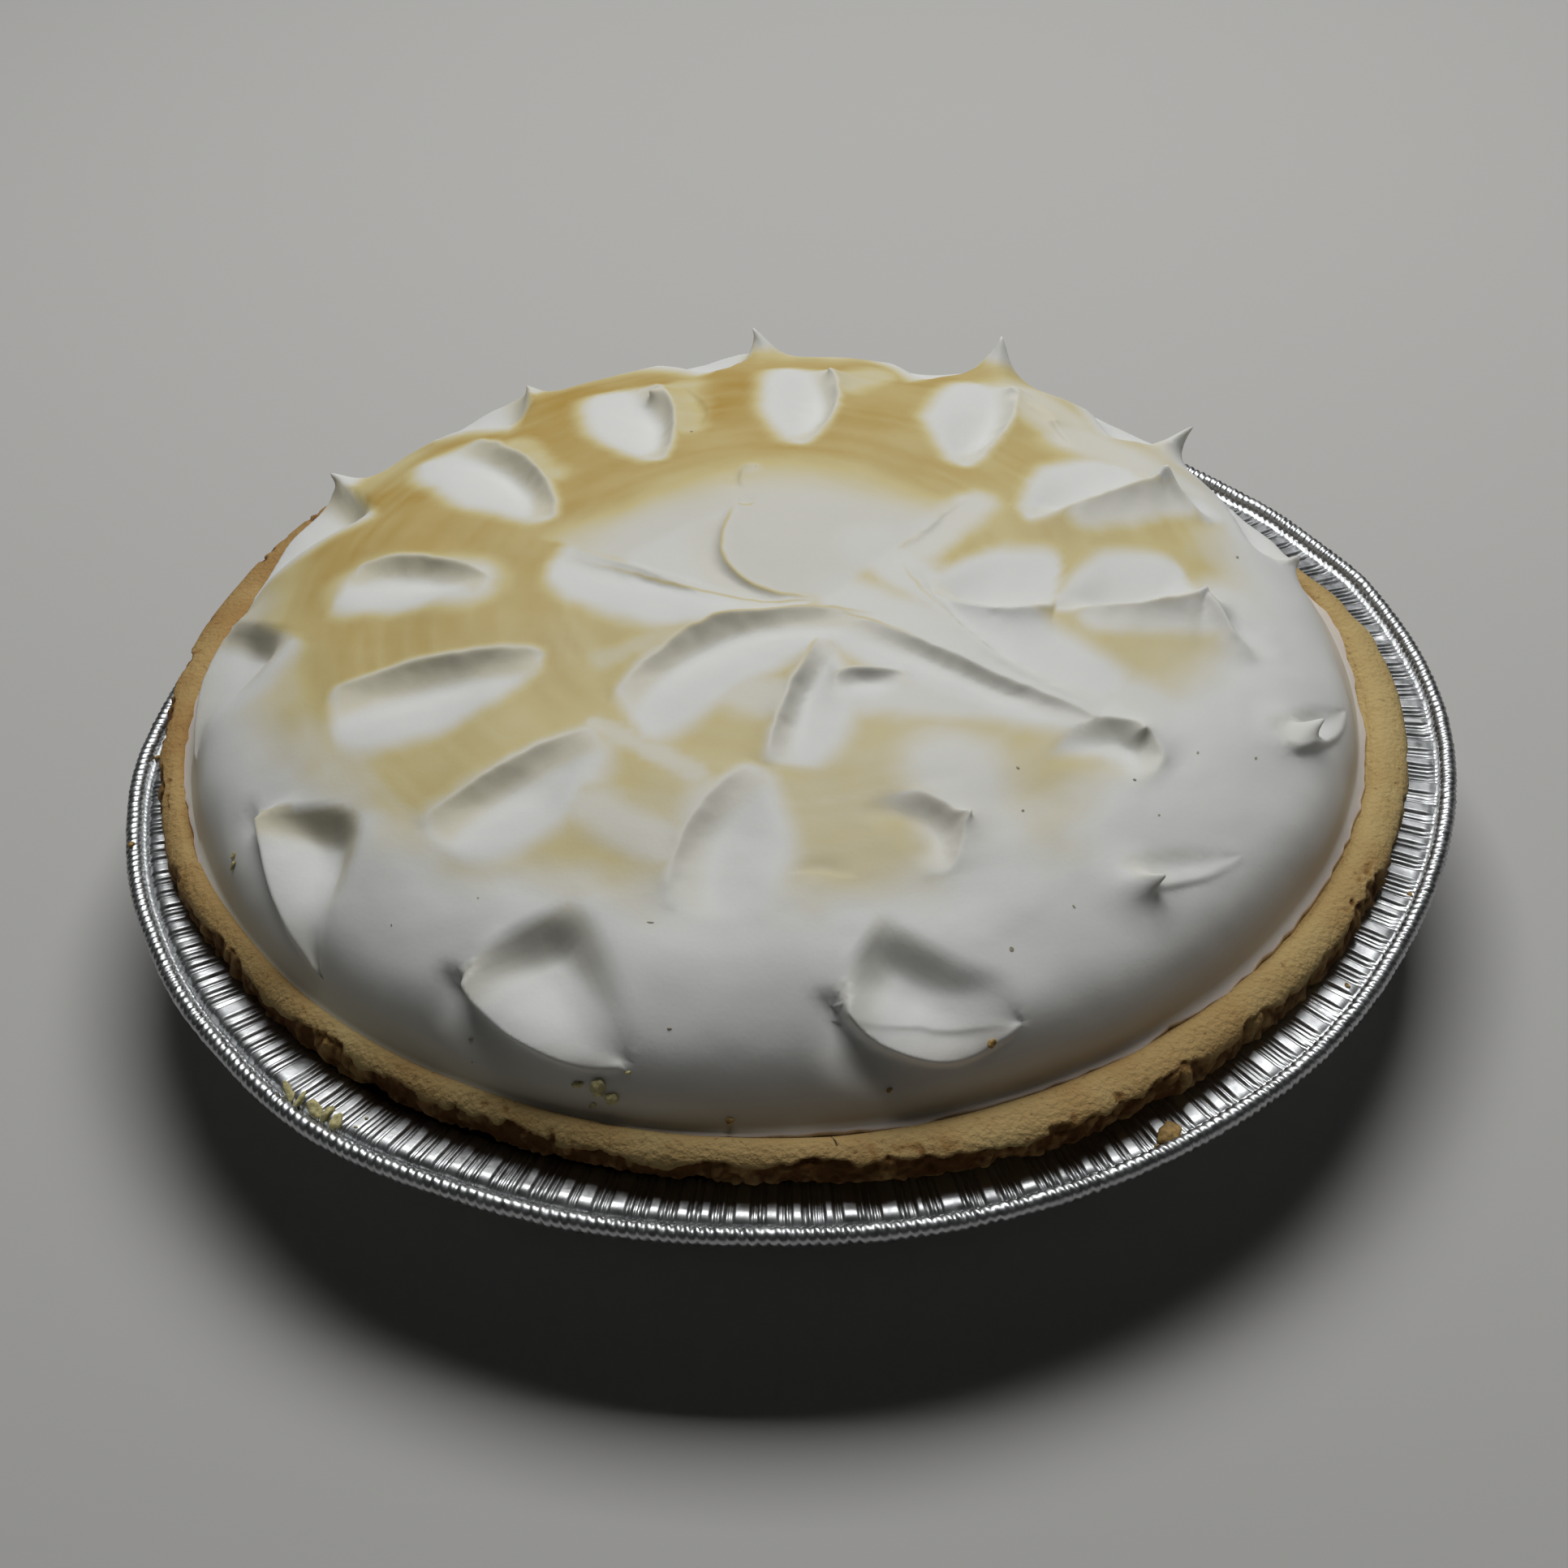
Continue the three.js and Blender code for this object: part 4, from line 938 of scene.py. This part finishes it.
def spooned(chart, ragged):
    """Lift and lean in mm that strokes and tips give each point, how much of it is white, and how much
    painted wall shade it takes.
    """
    rise, hollow, fresh, wall_shade = np.zeros((4, len(chart)))
    for stroke in WALLS + SHELVES:
        wander = 0.35 if isinstance(stroke, Shelf) else 1
        up, down, white, wall = stroke.effect(chart + ragged * wander)
        rise = np.maximum(rise, up)
        hollow = np.maximum(hollow, down)
        fresh = np.maximum(fresh, white)
        wall_shade = np.maximum(wall_shade, wall)
    for stroke in FOLDS:
        hollow = hollow + stroke.effect(chart + ragged)[1]
    lean = np.zeros((len(chart), 3))
    for x, y, height, spread, lean_x, lean_y in TIPS:
        share = tip_share(chart, (x, y), spread)
        rise = rise + height * share
        lean += share[:, None] ** 2 * np.array([lean_x, lean_y, 0])
        fresh = np.maximum(fresh, smoothstep(0.15, 0.5, share) * min(height / 3, 1))
    for start, end, half_width, whiteness in SMEARS:
        start = np.array(start, float)
        line = np.array(end, float) - start
        along = np.clip((chart - start) @ line / (line @ line), 0, 1)
        away = np.linalg.norm(chart - start - along[:, None] * line, axis=1)
        worn = smoothstep(0.35, 1.25, (away + 2 * ragged[:, 0]) / half_width)
        fresh = np.maximum(fresh, whiteness * (1 - worn))
    return rise - hollow, lean, fresh, wall_shade


def colour_meringue(mesh, dome, chart, row, ragged, fresh, wall_shade):
    """Writes how browned each point is, with painted shade and bounce light mixed in, how much cream and
    painted grey shade it takes, and how much it belongs to the pale foot.
    """
    x, y = chart.T
    flat = np.pad(chart, ((0, 0), (0, 1)))
    arc = np.hypot(x, y)
    turn = np.arctan2(y, x)
    strength = np.clip(0.62 - 0.0016 * x + 0.0036 * y, 0.28, 1.1)
    back = smoothstep(-75, 55, y - 0.35 * x)
    wander = arc + 4 * grain(flat, 13, 8) + 2 * grain(flat, 5, 9)
    zone = 1 - smoothstep(66 + 12 * back, 80 + 22 * back, wander)
    back_edge = 38 - 0.0135 * (x - 1) ** 2 + 2 * grain(flat, 9, 15)
    petals = 1 - smoothstep(-17, 5, y - back_edge)
    for stroke in (WALLS[0], FOLDS[0]):
        petals = petals * smoothstep(-0.5, 1.5, -stroke.measure(chart)[2])
    # Tan lines along the lip crests and crease edges: partly browning of the crests, partly painted shade
    # for the thin shadow lines beside them.
    seam_and_shade = np.zeros(len(chart))
    for stroke in WALLS[1:] + FOLDS:
        share, taper, signed = stroke.measure(chart + ragged)
        seam_and_shade = np.maximum(seam_and_shade, np.exp(-(signed / 0.35) ** 2) * smoothstep(0.0, 0.5, taper))
    seam_and_shade = seam_and_shade * (1 - smoothstep(18, 36, arc))
    streak = grain(np.stack([arc / 1.6, turn * 4, 0 * arc], axis=1), 1, 33)
    browned_and_shade = strength * zone * (1 - fresh) * (1 - 0.95 * petals) * (1 + 0.1 * streak)
    # Painted shade: the walls under the lips take a warm brownish tint, stronger to the left and weaker at
    # the front.
    wall_shade = wall_shade * np.clip(0.16 - 0.0014 * x, 0.05, 0.24)
    wall_shade = wall_shade * (0.35 + 0.65 * smoothstep(-90, -50, y))
    browned_and_shade = np.maximum(np.maximum(browned_and_shade, wall_shade), 0.45 * seam_and_shade)
    # Painted bounce light: a pinkish beige tint near the meringue's edge at the right front, for light
    # thrown back from the crust.
    toward_right = smoothstep(0.1, 0.75, (x - 0.8 * y) / 125) * (y < 30)
    painted_rim_bounce = smoothstep(dome.total - 14, dome.total - 2, arc) * toward_right
    # Painted shade: a brownish tint on the meringue near its foot at the front left, for its shade and the
    # crust's colour thrown onto it.
    toward_left = smoothstep(0.1, 0.85, np.cos(turn - math.radians(-122)))
    painted_foot_shade = smoothstep(dome.total - 12, dome.total - 1, arc) * toward_left * (row == 0)
    browned_and_shade = np.maximum(browned_and_shade, 0.2 * painted_foot_shade)
    write_values(mesh, "browned_and_shade", np.clip(np.maximum(browned_and_shade, 0.12 * painted_rim_bounce), 0, 1))
    # Cream on the petals is partly painted shade, greying them where the light falls off at the top.
    write_values(mesh, "cream_and_shade", np.clip(0.35 * petals * (1 - 0.4 * fresh) + 0.05 * zone, 0, 1))
    # The foot layer is whitened as painted light, and also takes the painted rim bounce.
    write_values(mesh, "foot", np.clip(np.maximum(row, 0.4 * painted_rim_bounce), 0, 1))


def shape_meringue(settings):
    """Meringue: a dome pushed in and out along its normal by every stroke of the spoon."""
    dome = Dome(settings)
    piece = new_piece("meringue_top", meringue_blank(settings, dome), "meringue")
    ball = read_points(piece.data)
    row = np.round(np.maximum(-ball[:, 2], 0)).astype(int)
    chart = dome.unrolled(ball)
    flat = np.pad(chart, ((0, 0), (0, 1)))
    arc = np.hypot(chart[:, 0], chart[:, 1])
    turn = np.arctan2(chart[:, 1], chart[:, 0])
    ragged = np.stack(
        [0.3 * grain(flat, 6, seed) + 0.22 * grain(flat, 2.2, seed + 1) for seed in (21, 23)], axis=1)
    relief, lean, fresh, wall_shade = spooned(chart, ragged)
    swell = 0.9 * grain(flat, 24, 2) + 0.3 * grain(flat, 9, 4) + 0.05 * grain(flat, 2.5, 6)
    front_left = smoothstep(0.35, 0.95, np.cos(turn - math.radians(-140)))
    front_right = smoothstep(0.5, 0.95, np.cos(turn - math.radians(-44)))
    swell += 1.5 * np.maximum(front_left, front_right) * np.exp(-((dome.total - 10 - arc) / 7) ** 2)
    fade = smoothstep(0, 5, dome.total - arc)
    points = dome.place(chart, fade * (relief + swell)) + lean
    bend = around(np.degrees(turn), MERINGUE_BEND) * smoothstep(55, 100, arc)
    points[:, :2] *= (1 + bend / np.maximum(arc, 1))[:, None]
    flare = 0.85 + 0.5 * grain(flat, 9, 31) + 0.4 * grain(flat, 2.5, 32)
    outward = np.choose(row, [spread * flare for spread in FOOT_SPREAD] + [-FOOT_TURN_IN])
    points[:, :2] *= (1 + outward / np.maximum(np.hypot(points[:, 0], points[:, 1]), 1))[:, None]
    points[:, 2] += np.choose(row, FOOT_DROP)
    points *= MM
    points[:, 0] += PIE_SHIFT
    points[:, 2] += settings.dome_base
    write_points(piece.data, points)
    colour_meringue(piece.data, dome, chart, row, ragged, fresh, wall_shade)
    return piece


def crumb_material(name, shade):
    """Dry crumb: matt and grainy, mottled darker by the same fine noise that roughens it."""
    material, tree, output = new_material(name)
    place = add_node(tree, "ShaderNodeTexCoord").outputs["Object"]
    crumb = add_node(tree, "ShaderNodeTexNoise", {"Vector": place, "Scale": 1 / (0.6 * MM), "Detail": 4.0})
    dark = tuple(0.6 * value for value in shade[:3]) + (1.0,)
    share = add_node(tree, "ShaderNodeMapRange", {
        "Value": crumb.outputs["Fac"], "From Min": 0.4, "From Max": 0.7})
    tint = add_node(
        tree, "ShaderNodeMix", {FACTOR: share.outputs[0], FIRST: shade, SECOND: dark}, data_type="RGBA")
    bump = add_node(tree, "ShaderNodeBump", {
        "Height": crumb.outputs["Fac"], "Strength": 0.6, "Distance": 0.3 * MM})
    surface = add_node(tree, "ShaderNodeBsdfPrincipled", {
        "Base Color": tint.outputs[RESULT], "Roughness": 0.7, "Normal": bump.outputs[0]})
    tree.links.new(surface.outputs[0], output.inputs[0])
    return material


def shape_crumbs(name, table, trees, flatness):
    """Lumpy crumbs lying where they fell, each pressed a little into the surface below it."""
    bm = bmesh.new()
    for x, y, long, wide, turn in table:
        hits = [tree.ray_cast(Vector((x * MM, y * MM, 1)), Vector((0, 0, -1))) for tree in trees]
        place, normal = max((hit[:2] for hit in hits if hit[0]), key=lambda hit: hit[0].z)
        thick = flatness * wide
        upright = normal.to_track_quat("Z", "Y").to_matrix().to_4x4()
        stand = upright @ Matrix.Rotation(math.radians(turn), 4, "Z")
        size = Matrix.Diagonal((long * MM, wide * MM, thick * MM, 1))
        lift = Matrix.Translation(place + normal * thick * MM * (0.5 - CRUMB_SINK))
        bmesh.ops.create_icosphere(bm, subdivisions=3, radius=0.5, matrix=lift @ stand @ size)
    bm.normal_update()
    points = np.array([vert.co for vert in bm.verts])
    lump = 0.5 * flatness * grain(points, 0.9 * MM, 61) + 0.25 * flatness * grain(points, 0.4 * MM, 62)
    for vert, amount in zip(bm.verts, lump):
        vert.co += vert.normal * (amount * MM)
    return new_piece(name, bm)


def aimed(obj, place, target, roll=0.0):
    """Stands an object at a place, looking at a target."""
    sight = (Vector(target) - Vector(place)).normalized()
    right = sight.cross(Vector((0, 0, 1))).normalized()
    up = right.cross(sight)
    across = right * math.cos(roll) + up * math.sin(roll)
    above = up * math.cos(roll) - right * math.sin(roll)
    turn = Matrix((across, above, -sight)).transposed().to_4x4()
    obj.matrix_world = Matrix.Translation(place) @ turn


def softbox(name, place, target, size, power):
    """A soft rectangular lamp that looks at a target."""
    light = bpy.data.lights.new(name, "AREA")
    light.shape = "RECTANGLE"
    light.size, light.size_y = size
    light.energy = power
    lamp = bpy.data.objects.new(name, light)
    bpy.context.scene.collection.objects.link(lamp)
    aimed(lamp, place, target)


class PIE_OT_make_tin(bpy.types.Operator):
    """Makes the pleated foil tin and its notched bead"""
    bl_idname = "meringue_pie.make_tin"
    bl_label = "Make Foil Tin"

    def execute(self, context):
        settings = context.scene.pie_tin
        material = foil_material(settings)
        for piece in (shape_tin(settings), shape_bead(settings)):
            piece.data.materials.append(material)
        return {"FINISHED"}


class PIE_OT_make_crust(bpy.types.Operator):
    """Makes the pastry case with its broken rim"""
    bl_idname = "meringue_pie.make_crust"
    bl_label = "Make Crust"

    def execute(self, context):
        settings = context.scene.pie_crust
        piece = shape_crust(settings, context.scene.pie_tin)
        piece.data.materials.append(pastry_material(settings))
        return {"FINISHED"}


class PIE_OT_make_meringue(bpy.types.Operator):
    """Makes the spooned and browned meringue"""
    bl_idname = "meringue_pie.make_meringue"
    bl_label = "Make Meringue"

    def execute(self, context):
        settings = context.scene.pie_meringue
        piece = shape_meringue(settings)
        piece.data.materials.append(meringue_material(settings))
        return {"FINISHED"}


class PIE_OT_make_crumbs(bpy.types.Operator):
    """Scatters the fallen crumbs and specks over the pie and its tin"""
    bl_idname = "meringue_pie.make_crumbs"
    bl_label = "Make Crumbs"

    def execute(self, context):
        settings = context.scene.pie_crumbs
        below = context.evaluated_depsgraph_get()
        surfaces = [bpy.data.objects[name] for name in ("tin_foil", "tin_bead", "meringue_top")]
        trees = [BVHTree.FromObject(surface, below) for surface in surfaces]
        kinds = (
            ("lime_crumbs", "meringue", LIME_CRUMBS, 0.6, "set_lime_filling", settings.lime),
            ("pastry_crumbs", "pastry", PASTRY_CRUMBS, 0.6, "broken_pastry", settings.pastry),
            ("baked_specks", "meringue", SPECKS, 0.25, "dark_baked_sugar", settings.speck),
        )
        for name, slot, table, flatness, material, shade in kinds:
            piece = shape_crumbs(name, table, trees, flatness)
            piece.data.materials.append(crumb_material(material, tuple(shade)))
        return {"FINISHED"}


class PIE_OT_make_stage(bpy.types.Operator):
    """Makes the floor, the softboxes, the even light and the camera"""
    bl_idname = "meringue_pie.make_stage"
    bl_label = "Make Stage"

    def execute(self, context):
        scene = context.scene
        settings = scene.pie_stage
        bm = bmesh.new()
        bmesh.ops.create_grid(bm, x_segments=1, y_segments=1, size=4)
        mesh = bpy.data.meshes.new("studio_floor")
        bm.to_mesh(mesh)
        bm.free()
        floor = bpy.data.objects.new("studio_floor", mesh)
        scene.collection.objects.link(floor)
        material, tree, output = new_material("matt_studio_paper")
        surface = add_node(tree, "ShaderNodeBsdfPrincipled", {
            "Base Color": tuple(settings.floor_colour), "Roughness": 0.9})
        tree.links.new(surface.outputs[0], output.inputs[0])
        mesh.materials.append(material)

        world = bpy.data.worlds.new("even_studio_light")
        world.use_nodes = True
        background = world.node_tree.nodes["Background"]
        background.inputs["Color"].default_value = (1, 1, 1, 1)
        background.inputs["Strength"].default_value = settings.sky
        scene.world = world
        softbox("key_softbox", (0.05, 0.37, 0.8), (0, 0, 0.05), (0.6, 0.45), settings.key_power)
        softbox("fill_softbox", (-0.5, -0.8, 0.7), (0, 0, 0.03), (0.6, 0.6), settings.fill_power)

        camera = bpy.data.cameras.new("photo_camera")
        camera.angle = settings.view_angle
        camera.clip_start = 0.01
        eye = bpy.data.objects.new("photo_camera", camera)
        scene.collection.objects.link(eye)
        aimed(eye, settings.eye, settings.aim, settings.roll)
        scene.camera = eye
        scene.view_settings.view_transform = "Standard"
        return {"FINISHED"}


class PIE_PT_panel(bpy.types.Panel):
    """Buttons that make the pie's pieces"""
    bl_idname = "PIE_PT_panel"
    bl_label = "Meringue Pie"
    bl_space_type = "VIEW_3D"
    bl_region_type = "UI"
    bl_category = "Meringue Pie"

    def draw(self, context):
        for operator in OPERATORS:
            self.layout.operator(operator.bl_idname)
        for name in SETTINGS:
            group = getattr(context.scene, name)
            column = self.layout.column(align=True)
            for field in group.bl_rna.properties.keys():
                if field not in {"rna_type", "name"}:
                    column.prop(group, field)


SETTINGS = {
    "pie_tin": TinSettings,
    "pie_crust": CrustSettings,
    "pie_meringue": MeringueSettings,
    "pie_crumbs": CrumbSettings,
    "pie_stage": StageSettings,
}
OPERATORS = (PIE_OT_make_tin, PIE_OT_make_crust, PIE_OT_make_meringue, PIE_OT_make_crumbs, PIE_OT_make_stage)
CLASSES = (*SETTINGS.values(), *OPERATORS, PIE_PT_panel)


def register():
    for item in CLASSES:
        bpy.utils.register_class(item)
    for name, group in SETTINGS.items():
        setattr(bpy.types.Scene, name, PointerProperty(type=group))


def unregister():
    for name in SETTINGS:
        delattr(bpy.types.Scene, name)
    for item in reversed(CLASSES):
        bpy.utils.unregister_class(item)


def main():
    register()
    bpy.ops.meringue_pie.make_tin()
    bpy.ops.meringue_pie.make_crust()
    bpy.ops.meringue_pie.make_meringue()
    bpy.ops.meringue_pie.make_crumbs()
    bpy.ops.meringue_pie.make_stage()


if __name__ == "__main__":
    main()
